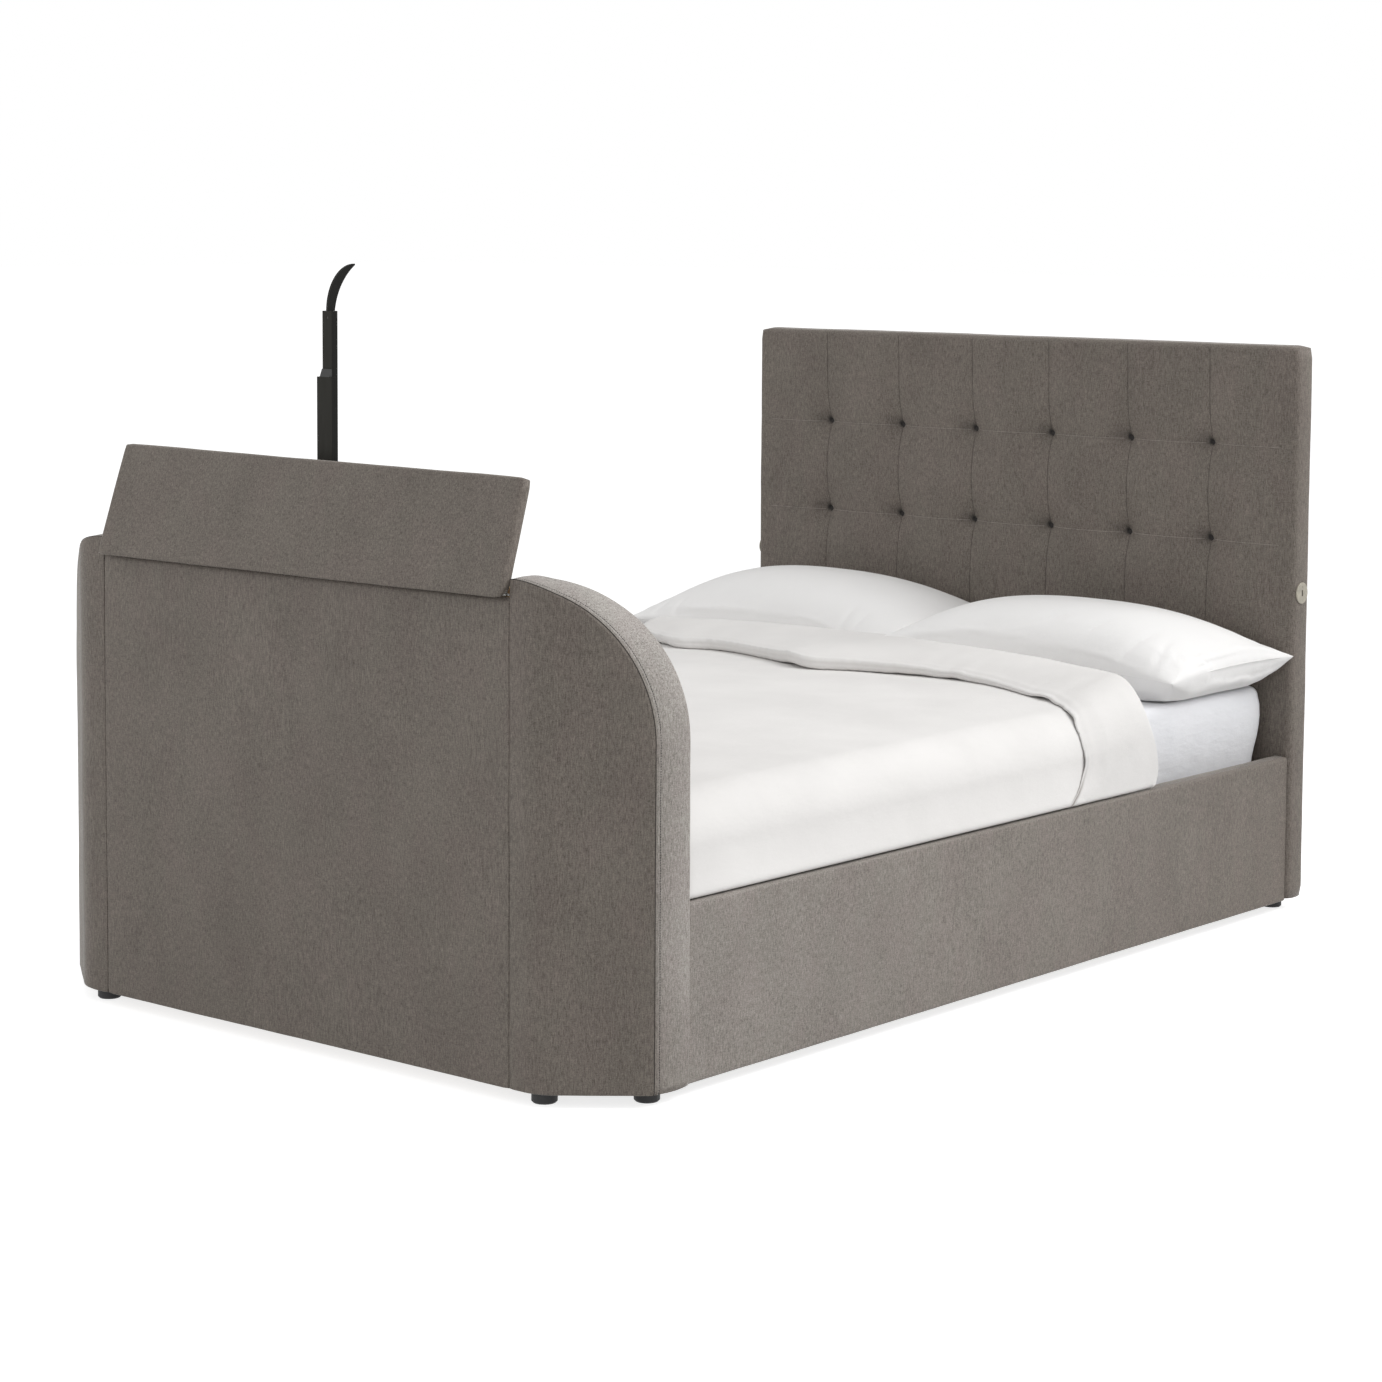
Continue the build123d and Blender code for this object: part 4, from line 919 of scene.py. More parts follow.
@dataclass
class Headboard:
    """Padded headboard with blind tufts between sewn seams."""

    finishes: Finishes
    datum: Datum
    columns: int = 6
    spacing: float = 209.8 * MM
    rows: Pair = (794.0 * MM, 1004.0 * MM)
    tuft_depth: float = 19.5 * MM
    tuft_shift: float = -8.0 * MM
    front_radius: float = 15.0 * MM
    back_radius: float = 8.0 * MM
    back_rim: float = 20.0 * MM
    back_sag: float = 2.2 * MM
    staple_pitch: float = 55.0 * MM
    deepest: float = 28.5 * MM
    button_sides: int = 14
    button_profile: tuple[Pair, ...] = (
        (9.6, -0.6), (9.3, 0.3), (8.0, 1.0), (5.5, 1.5), (2.6, 1.7), (0.25, 1.8),
    )

    def seams(self) -> Array:
        """The X of each upright seam."""
        return (np.arange(self.columns) - (self.columns - 1) / 2) * self.spacing + self.tuft_shift

    def lines(self, low: float, high: float, centres: Sequence[float]) -> Array:
        """Grid lines that crowd together near the seams.

        Args:
            low: First line.
            high: Last line.
            centres: Places of the seams.

        Returns:
            The lines' places in order.
        """
        near = np.array([0.0, 0.8, 1.7, 2.8, 4.0, 5.4, 7.2, 9.5, 12.5, 17.0, 23.0, 31.0, 41.0, 53.0]) * MM
        values = [low, high]
        for c in centres:
            values += [c + s * d for d in near for s in (-1.0, 1.0) if low < c + s * d < high]
        values = sorted(set(round(v, 6) for v in values))
        filled = [values[0]]
        for v in values[1:]:
            gap = v - filled[-1]
            if gap < 0.5 * MM:
                continue
            parts = max(1, int(math.ceil(gap / (12.0 * MM))))
            filled += [filled[-1] + gap * (k + 1) / parts for k in range(parts)]
        return np.array(filled)

    def depth(self, x: Array, z: Array) -> Array:
        """How far the cloth lies behind the front plane.

        Args:
            x: X of each point.
            z: Height of each point.

        Returns:
            The depth of each point.
        """
        seams = self.seams()
        dx = np.abs(x[..., None] - seams).min(axis=-1)
        which = np.abs(x[..., None] - seams).argmin(axis=-1)
        signed = x - seams[which]
        dz = np.abs(z[..., None] - np.array(self.rows)).min(axis=-1)
        row = np.array(self.rows)[np.abs(z[..., None] - np.array(self.rows)).argmin(axis=-1)]
        rise = z - row
        inside = np.clip((seams[-1] + 40 * MM - np.abs(x)) / (40 * MM), 0.0, 1.0)
        total = 1.3 * MM * np.exp(-((dx / (1.6 * MM)) ** 2)) + 1.4 * MM * np.exp(-((dx / (13.0 * MM)) ** 2))
        total += 3.0 * MM * np.exp(-((dx / (52.0 * MM)) ** 2))
        ledge = np.where(rise < 0.0, np.exp(-((dz / (2.0 * MM)) ** 2)), np.exp(-((dz / (7.0 * MM)) ** 2)))
        total += (0.9 * MM * ledge + 1.3 * MM * np.exp(-((dz / (28.0 * MM)) ** 2))) * (0.35 + 0.65 * inside)
        far = np.sqrt((signed / (36.0 * MM)) ** 2 + (rise / (44.0 * MM)) ** 2)
        total += self.tuft_depth * np.exp(-(far**1.3))
        close = np.sqrt((signed / (7.6 * MM)) ** 2 + (rise / (8.6 * MM)) ** 2)
        total += 3.5 * MM * np.exp(-(close**2.6))
        angle = np.arctan2(rise, signed)
        folds = np.cos(7.0 * angle + 1.3 * which) * 0.45 + np.cos(4.0 * angle - which) * 0.55
        total += 0.9 * MM * folds * np.exp(-((far - 0.55) ** 2) / 0.16) * (far > 0.08)
        return np.minimum(total, self.deepest)

    def pad(self) -> Piece:
        """Builds the tufted front with its sides and top.

        Returns:
            The piece.
        """
        low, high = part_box("headboard_cover")
        r = self.front_radius
        xs = self.lines(low.x + r, high.x - r, self.seams().tolist())
        zs = self.lines(low.z + r, high.z - r, self.rows)
        grid = np.stack(np.meshgrid(xs, zs, indexing="ij"), axis=-1)
        deep = high.y - low.y

        def place(p: Array, d: Array) -> Array:
            """Stands the face up and presses the tufts in.

            Args:
                p: Points of the face.
                d: Their depths.

            Returns:
                The points in xyz.
            """
            fade = np.clip(1.0 - d / (14.0 * MM), 0.0, 1.0)
            sides = np.clip((high.z - p[..., 1]) / (70 * MM), 0.0, 1.0) ** 0.5
            press = self.depth(p[..., 0], p[..., 1]) * fade * sides
            return xyz(p[..., 0], low.y + d + press, p[..., 1])

        shell = slab(grid, edge_profile(deep, r, self.back_radius, 1.2 * MM), place, rim=16.0 * MM)
        made = shell.build("headboard_pad", self.finishes.cloth)
        ripple(made, 0.9 * MM, 0.19, 3.0)
        ripple(made, 0.25 * MM, 0.035, 5.0)
        # Paints shade round the tufts, which the cloth darkens nearly to black.
        paint(made, "shade", self.shading(coordinates(made)))
        ride(made, "frame", "upholstery", "headboard_cover")
        return made

    def shading(self, points: Array) -> Array:
        """How much each point lies in the shade of a tuft's folds.

        Args:
            points: The pad's points.

        Returns:
            A share from 0 to 1 for each point.
        """
        total = np.zeros(len(points))
        for z in self.rows:
            for x in self.seams():
                across, rise = (points[:, 0] - x) / MM, (points[:, 2] - z) / MM
                total += 1.1 * np.exp(-(((across + 2.0) / 6.0) ** 2) - (((rise - 1.0) / 6.0) ** 2))
                total += 0.4 * np.exp(-(((across + 4.0) / 5.0) ** 2) - (((rise - 10.0) / 8.0) ** 2))
                total += 0.28 * np.exp(-(((across + 18.0) / 20.0) ** 2) - (((rise - 6.0) / 15.0) ** 2))
        return np.clip(total, 0.0, 0.97) * (points[:, 1] < self.datum.front_y + 35 * MM)

    def tufts(self) -> Piece:
        """Builds the small covered buttons that hold the tufts in, coloured near-black as painted shade so
        that they read as deep pits.

        Returns:
            The piece.
        """
        low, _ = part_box("headboard_cover")
        shell = Shell()
        for z in self.rows:
            for x in self.seams():
                deep = self.depth(np.array([x]), np.array([z]))[0]
                rings = []
                for radius, rise in self.button_profile:
                    a = np.linspace(0.0, 2.0 * math.pi, self.button_sides, endpoint=False)
                    y = np.full(self.button_sides, low.y + deep - rise * MM)
                    ring = [x + radius * MM * np.cos(a), y, z + radius * MM * np.sin(a)]
                    rings.append(np.stack(ring, axis=1))
                shell.grid(np.stack(rings), closed=True)
                shell.fan(rings[-1])
        made = shell.build("headboard_tuft_buttons", self.finishes.shade)
        return ride(made, "frame", "upholstery", "headboard_buttons")

    def seam_threads(self, pad: Piece) -> list[Piece]:
        """Builds the dark upright seams and the level ones on the finished pad, the level threads coloured
        pale as a painted highlight along the lit edge of their crease.

        Args:
            pad: The headboard's padded form.

        Returns:
            The two pieces.
        """
        low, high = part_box("headboard_cover")
        rows = np.array(self.rows)
        upright, level = Shell(), Shell()
        for x in self.seams():
            zs = spaced(low.z + 30 * MM, high.z - 6 * MM, 2.5 * MM)
            y = low.y + self.depth(np.full(len(zs), x), zs) * np.clip((high.z - zs) / (70 * MM), 0, 1) ** 0.5
            points, normals = snap(pad, np.stack([np.full(len(zs), x), y, zs], axis=1))
            keep = np.abs(zs[:, None] - rows).min(axis=1) > 10 * MM
            for part in self.runs(points + normals * 0.15 * MM, keep):
                upright.take(tube(part, 0.5 * MM, 5))
        for z in self.rows:
            xs = spaced(low.x + 40 * MM, high.x - 40 * MM, 2.5 * MM)
            y = low.y + self.depth(xs, np.full(len(xs), z))
            points, normals = snap(pad, np.stack([xs, y, np.full(len(xs), z - 1.5 * MM)], axis=1))
            keep = np.abs(xs[:, None] - self.seams()).min(axis=1) > 12 * MM
            for part in self.runs(points + normals * 0.2 * MM, keep):
                level.take(tube(part, 0.6 * MM, 5))
        made = [
            upright.build("headboard_upright_seams", self.finishes.seam),
            level.build("headboard_level_seams", self.finishes.pale),
        ]
        return [ride(piece, "frame", "upholstery") for piece in made]

    @staticmethod
    def runs(path: Array, keep: Array) -> list[Array]:
        """Splits a path into the stretches that are kept.

        Args:
            path: The path's points.
            keep: Whether each is kept.

        Returns:
            The stretches.
        """
        parts: list[Array] = []
        start = None
        for i, wanted in enumerate(keep.tolist() + [False]):
            if wanted and start is None:
                start = i
            if not wanted and start is not None:
                if i - start > 2:
                    parts.append(path[start:i])
                start = None
        return parts

    def back(self) -> Piece:
        """Builds the thin cloth on the back, drawn in slightly between its staples.

        Returns:
            The piece.
        """
        low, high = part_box("headboard_back_cloth")
        _, cover_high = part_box("headboard_cover")
        xs = spaced(low.x - 6 * MM, high.x + 6 * MM, 14 * MM)
        zs = spaced(low.z, high.z + 6 * MM, 14 * MM)
        x, z = np.meshgrid(xs, zs, indexing="ij")
        border = np.minimum(np.minimum(x - xs[0], xs[-1] - x), np.minimum(z - zs[0], zs[-1] - z))
        inside = np.maximum(border - self.back_rim, 0.0)
        sag = self.back_sag * (1.0 - np.exp(-inside / (60 * MM)))
        turn = 2 * math.pi / self.staple_pitch
        tug = np.cos(x * turn) * np.cos(z * turn)
        pull = 0.4 * MM * np.exp(-inside / (18 * MM)) * (1.0 + tug)
        y = cover_high.y + 1.3 * MM - sag + pull
        shell = Shell()
        shell.grid(xyz(x, y, z))
        made = shell.build("headboard_back_sheet", self.finishes.by_slot["backing_cloth"])
        ride(made, "frame", "backing_cloth", "headboard_back_cloth")
        return made

    def ports(self) -> Piece:
        """Builds the dark lining and the tongue inside each charging slot.

        Returns:
            The piece.
        """
        shell = Shell()
        for name, side in (("usb_port_right", 1.0), ("usb_port_left", -1.0)):
            low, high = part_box(name)
            y = (low.y + high.y) / 2
            z = (low.z + high.z) / 2
            face = high.x if side > 0 else low.x
            for near, half_y, half_z in ((1.6, 2.6, 6.3), (0.9, 1.1, 5.2)):
                ends = sorted((face - side * 13.5 * MM, face - side * near * MM))
                low_corner = (ends[0], y - half_y * MM, z - half_z * MM)
                high_corner = (ends[1], y + half_y * MM, z + half_z * MM)
                shell.take(bevelled_box(low_corner, high_corner, 0.3 * MM))
        made = shell.build("usb_tongues", self.finishes.by_slot["pad_plastic"])
        return ride(made, "frame", "glide_plastic")

    def dress(self) -> list[Piece]:
        """Builds every piece of the headboard."""
        pad = self.pad()
        return [pad, self.tufts(), *self.seam_threads(pad), self.back(), self.ports()]


def bevelled_box(low: Sequence[float], high: Sequence[float], radius: float) -> Shell:
    """A box with rounded edges, as a slab seen from above.

    Args:
        low: Its low corner.
        high: Its high corner.
        radius: Radius of its edges.

    Returns:
        The shell.
    """
    xs = np.linspace(low[0] + radius, high[0] - radius, 3)
    ys = np.linspace(low[1] + radius, high[1] - radius, 3)
    grid = np.stack(np.meshgrid(xs, ys, indexing="ij"), axis=-1)

    def place(p: Array, d: Array) -> Array:
        """Lays the slab flat, with its depth downward."""
        return xyz(p[..., 0], p[..., 1], high[2] - d)

    return slab(grid, edge_profile(high[2] - low[2], radius, radius), place)


@dataclass
class Wing:
    """The angled, round-shouldered end of the foot end, on either side."""

    finishes: Finishes
    datum: Datum
    front_y: float = -2220.5
    corner_x: float = 582.0
    side_x: float = 735.0
    inner_x: float = 519.0
    angles: Pair = (39.5, 36.0)
    bend: float = 97.0
    thickness: float = 74.0
    top: float = 890.0
    low: float = 22.0
    shoulder_x: float = 528.0
    shoulder_drop: float = 275.0
    edge: float = 3.5

    def face_line(self, x: Array, inset: float, angle: float) -> Array:
        """The Y of the wing's face, or of a face set in from it, at each X in millimetres.

        Args:
            x: The places.
            inset: How far the face is set in.
            angle: The wing's angle in degrees.

        Returns:
            The Y at each place.
        """
        slope = math.tan(math.radians(angle))
        shift = inset * math.tan(math.radians(angle) / 2)
        cx = self.corner_x - shift
        base = self.front_y + inset
        radius = self.bend - inset
        half = radius * math.tan(math.radians(angle) / 2)
        start = cx - half
        end = cx + half * math.cos(math.radians(angle))
        run = np.clip(x - start, 0.0, radius * 0.999)
        arc = base + radius - np.sqrt(np.maximum(radius**2 - run**2, 0.0))
        straight = base + (x - cx) * slope
        return np.where(x <= start, base, np.where(x >= end, straight, arc))

    def outline(self, inset: float) -> tuple[Array, Array]:
        """The face's top and its side, as two polylines that meet on the shoulder.

        Args:
            inset: How far both are set in.

        Returns:
            The top and the side.
        """
        a = self.side_x - self.shoulder_x - inset
        b = self.shoulder_drop - inset
        zc = self.top - self.shoulder_drop
        angles = np.linspace(math.pi / 2, 0.0, 90)
        curve = np.stack([self.shoulder_x + a * np.cos(angles), zc + b * np.sin(angles)], axis=1)
        first = [[self.inner_x + inset, self.top - inset]]
        last = [[self.side_x - inset, self.low + inset]]
        curve = np.concatenate([first, curve, last])
        dense = resample(curve, 900)
        split = int(np.argmin(np.abs(dense[:, 0] - 690.0) + (dense[:, 1] < zc - 5) * 1000))
        return dense[: split + 1], dense[split:]

    def grid(self) -> Array:
        """The face's grid, set in by the edge radius.

        Returns:
            The grid.
        """
        top, side = self.outline(self.edge)
        across = 34
        upright = 110
        low = self.low + self.edge
        inner = self.inner_x + self.edge
        run = np.linspace(inner, self.side_x - self.edge, across)
        bottom = np.stack([run, np.full(across, low)], axis=1)
        left = np.stack([np.full(upright, inner), np.linspace(low, self.top - self.edge, upright)], axis=1)
        right = resample(side[::-1], upright)
        upper = resample(top, across)
        return coons(bottom, upper, left, right)

    def place(self, side: float) -> Place:
        """The call that puts points of the face, in millimetres, on the bent wing at a depth.

        Args:
            side: 1 for the right, -1 for the left.

        Returns:
            The call, which takes points and depths and gives xyz in metres.
        """
        angle = self.angles[0] if side > 0 else self.angles[1]

        def put(p: Array, d: Array) -> Array:
            """Works the points out.

            Args:
                p: Points of the face.
                d: Their depths.

            Returns:
                The points in xyz.
            """
            x = p[..., 0]
            front = self.face_line(x, 0.0, angle)
            back = self.face_line(x, self.thickness, self.angles[0])
            y = front + (d / self.thickness) * (back - front)
            inward = np.clip((x - self.inner_x) / 45.0, 0.0, 1.0)
            middle = inward * np.clip((self.top - p[..., 1]) / 60.0, 0.0, 1.0)
            outer = np.clip((self.side_x - x) / 60.0, 0.0, 1.0)
            y = y + (1.6 * np.exp(-(x - self.inner_x) / 16.0) - 1.6 * middle * outer) * (d < 0.5)
            return xyz(x * MM * side, self.datum.front_y + y * MM, p[..., 1] * MM)

        return put

    def profile(self) -> Array:
        """The way round the wing's edge in millimetres: a sewn seam, a raised welt and a crowned border.

        Returns:
            Pairs of an outward offset and a depth.
        """
        e = self.edge
        rows = [(e * math.sin(a), e * (1.0 - math.cos(a))) for a in np.linspace(0.0, math.pi / 2, 5)]
        rows += [(e - 0.4, e + 0.5), (e - 1.5, e + 1.0), (e - 1.6, e + 1.5), (e - 0.4, e + 2.1)]
        rows += [(e + 0.3, e + 3.2), (e + 0.5, e + 4.6), (e + 0.3, e + 5.8)]
        rows += [(e - 0.25, e + 6.6), (e - 0.25, e + 7.2), (e + 0.3, e + 8.0)]
        start, stop = e + 8.0, self.thickness - 6.0
        for share in np.linspace(0.0, 1.0, 12)[1:-1]:
            rows.append((e + 0.3 + 2.4 * 4.0 * share * (1.0 - share), start + (stop - start) * share))
        for a in np.linspace(0.0, math.pi / 2, 6):
            rows.append((e - 6.0 + 6.0 * math.cos(a), self.thickness - 6.0 + 6.0 * math.sin(a)))
        rows.append((0.0, self.thickness))
        return np.array(rows)

    def pad(self, side: float, label: str) -> Piece:
        """Builds the wing's padded form.

        Args:
            side: 1 for the right, -1 for the left.
            label: right or left.

        Returns:
            The piece.
        """
        shell = slab(self.grid(), self.profile(), self.place(side))
        made = shell.build(f"wing_pad_{label}", self.finishes.cloth)
        ripple(made, 1.1 * MM, 0.16, 11.0 + side)
        ripple(made, 0.3 * MM, 0.045, 2.0 + side)
        # Paints sheen and light onto the border strip, lightest on its top.
        paint(made, "nap", self.nap(made, side))
        ride(made, "frame", "upholstery", f"wing_cover_{label}")
        return made

    def nap(self, made: Piece, side: float) -> Array:
        """How much light is painted onto the border strip at each point: partly the lightening of its pile,
        which lies the other way, and mostly painted sheen and light, strongest on its top, which faces up,
        and fading toward the bottom.

        Args:
            made: The wing's padded form.
            side: 1 for the right, -1 for the left.

        Returns:
            A share for each point.
        """
        points = coordinates(made) / MM
        normals = np.array([n.vector for n in made.data.vertex_normals])
        angle = self.angles[0] if side > 0 else self.angles[1]
        across = np.abs(points[:, 0])
        front = self.face_line(across, 0.0, angle)
        deep = self.face_line(across, self.thickness, self.angles[0]) - front
        share = (points[:, 1] - self.datum.front_y / MM - front) / deep
        strip = np.clip((share - 0.025) / 0.05, 0.0, 1.0) * (0.72 + 0.4 * np.clip(share, 0.0, 0.9))
        strip = strip * np.clip((1.0 - share) / 0.015, 0.0, 1.0)
        upward = np.clip(normals[:, 2] / 0.55, 0.0, 1.0)
        low = np.clip((points[:, 2] - 40.0) / 260.0, 0.0, 1.0)
        low = low * low * (3.0 - 2.0 * low)
        return strip * (0.42 + 0.3 * low + 0.34 * upward) * (normals[:, 2] > -0.3)

    def border_line(self, side: float, depth: float, count: int = 900) -> Array:
        """A line round the border strip at a depth behind the face.

        Args:
            side: 1 for the right, -1 for the left.
            depth: The depth in millimetres.
            count: Number of points.

        Returns:
            The line.
        """
        top, edge = self.outline(0.0)
        path = resample(np.concatenate([top, edge[1:]]), count)
        return self.place(side)(path, np.full(count, depth))

    def stitching(self, pad: Piece, side: float, label: str) -> list[Piece]:
        """Builds the dark seam behind the face, a near-black tube of painted shade along the seam's crease,
        and the row of dark stitches along the border's welt.

        Args:
            pad: The wing's padded form.
            side: 1 for the right, -1 for the left.
            label: right or left.

        Returns:
            The two pieces.
        """
        path, normals = snap(pad, self.border_line(side, 1.1))
        seam = tube(path + normals * 0.1 * MM, 0.75 * MM, 5).build(f"wing_seam_{label}", self.finishes.shade)
        path, normals = snap(pad, self.border_line(side, self.edge + 6.9))
        row = stitches(path, normals, 4.4 * MM, 3.5 * MM, 0.8 * MM, -0.1 * MM)
        thread = row.build(f"wing_stitches_{label}", self.finishes.shade)
        return [ride(seam, "frame", "upholstery"), ride(thread, "frame", "upholstery")]

    def dress(self) -> list[Piece]:
        """Builds both wings.

        Returns:
            The pieces.
        """
        made = []
        for side, label in ((1.0, "right"), (-1.0, "left")):
            pad = self.pad(side, label)
            made += [pad, *self.stitching(pad, side, label)]
        return made


@dataclass
class FootPanels:
    """The plain padded panels of the foot end between its wings."""

    finishes: Finishes
    datum: Datum

    def front(self) -> Piece:
        """Builds the wide front panel.

        Returns:
            The piece.
        """
        low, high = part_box("foot_front_cover")
        r = 3.5 * MM
        xs = spaced(low.x + r, high.x - r, 11.0 * MM)
        zs = spaced(low.z + r, high.z - r, 11.0 * MM)
        zs = np.unique(np.concatenate([zs, high.z - r - np.array([1.0, 2.5, 4.5, 7.0, 10.0]) * MM]))
        grid = np.stack(np.meshgrid(xs, zs, indexing="ij"), axis=-1)
        deep = high.y - low.y

        def place(p: Array, d: Array) -> Array:
            """Stands the panel up, rounds its top edge and draws it in at the seams.

            Args:
                p: Points of the face.
                d: Their depths.

            Returns:
                The points in xyz.
            """
            x, z = p[..., 0], p[..., 1]
            near_side = np.minimum(x - low.x, high.x - x)
            near_top = np.clip(high.z - z, 0.0, 1.0)
            roll = 5.0 * MM * np.exp(-((near_top / (5.0 * MM)) ** 1.5))
            draw = 1.1 * MM * np.exp(-near_side / (14.0 * MM)) + roll
            return xyz(x, low.y + d + draw * np.clip(1.0 - d / deep, 0.0, 1.0), z)

        shell = slab(grid, edge_profile(deep, r, 2.0 * MM), place, rim=12.0 * MM)
        made = shell.build("foot_front_pad", self.finishes.cloth)
        ripple(made, 1.3 * MM, 0.24, 21.0)
        ripple(made, 0.3 * MM, 0.05, 22.0)
        ride(made, "frame", "upholstery", "foot_front_cover")
        return made

    def back(self) -> Piece:
        """Builds the cover on the bed's side of the box, wrapped round both its ends.

        Returns:
            The piece.
        """
        low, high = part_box("foot_back_cover")
        thick = 7.0 * MM
        corner = 9.0 * MM
        path = [(high.x, low.y)]
        for a in np.linspace(0.0, math.pi / 2, 6):
            path.append((high.x - corner + corner * math.cos(a), high.y - corner + corner * math.sin(a)))
        for a in np.linspace(math.pi / 2, math.pi, 6):
            path.append((low.x + corner + corner * math.cos(a), high.y - corner + corner * math.sin(a)))
        path.append((low.x, low.y))
        line = resample(np.array(path), 130)
        normals = outward(line)
        normals[0] = (1.0, 0.0)
        normals[-1] = (-1.0, 0.0)
        zs = spaced(low.z, high.z - 4 * MM, 16 * MM)
        rows = [(-thick * 0.9, low.z + 2 * MM), (-3 * MM, low.z)]
        rows += [(-0.8 * MM, low.z + 0.8 * MM), (0.0, low.z + 4 * MM)]
        rows += [(0.0, z) for z in zs[1:-1]]
        rows += [(0.0, high.z - 5 * MM), (-0.9 * MM, high.z - 1.6 * MM)]
        rows += [(-2.6 * MM, high.z), (-thick * 0.9, high.z)]
        shell = Shell()
        shell.grid(np.stack([np.column_stack([line + normals * o, np.full(len(line), z)]) for o, z in rows]))
        made = shell.build("foot_back_pad", self.finishes.cloth)
        ripple(made, 0.7 * MM, 0.2, 31.0)
        ride(made, "frame", "upholstery", "foot_back_cover")
        return made

    def dress(self) -> list[Piece]:
        """Builds both panels."""
        return [self.front(), self.back()]


@dataclass
class Lid:
    """The padded lid, which stands open against the mast."""

    finishes: Finishes
    datum: Datum
    hinge: Pair = (-2212.0, 861.5)
    length: float = 204.0 * MM
    thickness: float = 24.0 * MM
    underside: float = 3.5 * MM
    half_width: float = 517.0 * MM
    angle: float = 73.2
    edge: float = 8.0 * MM
    lip: float = 16.0 * MM
    taper: float = 13.0 * MM
    droop: float = 7.0 * MM

    def opened(self, x: Array, along: Array, rise: Array) -> Array:
        """Turns points of the closed lid to where it stands open.

        Args:
            x: Places across the bed.
            along: Places along the lid from its hinge.
            rise: Heights over the hinge.

        Returns:
            The turned points.
        """
        c, s = math.cos(math.radians(self.angle)), math.sin(math.radians(self.angle))
        y = self.datum.y(self.hinge[0]) + along * c - rise * s
        z = self.hinge[1] * MM + along * s + rise * c
        return xyz(x, y, z)

    def pad(self) -> Piece:
        """Builds the padded cover.

        Returns:
            The piece.
        """
        r = self.edge
        xs = spaced(-self.half_width + r, self.half_width - r, 9.0 * MM)
        ls = spaced(r, self.length - r, 8.0 * MM)
        grid = np.stack(np.meshgrid(xs, ls, indexing="ij"), axis=-1)
        top = self.underside + self.thickness

        def place(p: Array, d: Array) -> Array:
            """Lays the face on the lid, crowned in the middle and lipped over the hinge, and opens it.

            Args:
                p: Points of the face.
                d: Their depths.

            Returns:
                The points in xyz.
            """
            x, along = p[..., 0], p[..., 1]
            ends = np.clip((self.half_width - np.abs(x)) / (60 * MM), 0.0, 1.0)
            sides = np.clip(np.minimum(along, self.length - along) / (60 * MM), 0.0, 1.0)
            crown = 1.6 * MM * np.sqrt(ends * sides) * np.clip(1.0 - d / (8 * MM), 0.0, 1.0)
            outer = np.clip(1.0 - d / (15 * MM), 0.0, 1.0)
            lip = self.lip * outer * np.clip(1.0 - along / (40 * MM), 0.0, 1.0)
            share = along / self.length
            right = (x + self.half_width) / (2.0 * self.half_width)
            x = x + self.taper * share * (1.0 - right)
            along = along - lip - self.droop * right * share
            return self.opened(x, along, top - 1.6 * MM - d + crown)

        profile = edge_profile(self.thickness - 4.0 * MM, r, 3.0 * MM, 0.6 * MM, 0.0)
        shell = slab(grid, profile, place)
        made = shell.build("lid_pad", self.finishes.cloth)
        ripple(made, 0.9 * MM, 0.15, 41.0)
        ripple(made, 0.25 * MM, 0.04, 42.0)
        ride(made, "lid", "upholstery", "lid_cover")
        return made

    def dress(self) -> list[Piece]:
        """Builds the lid's pieces."""
        return [self.pad()]


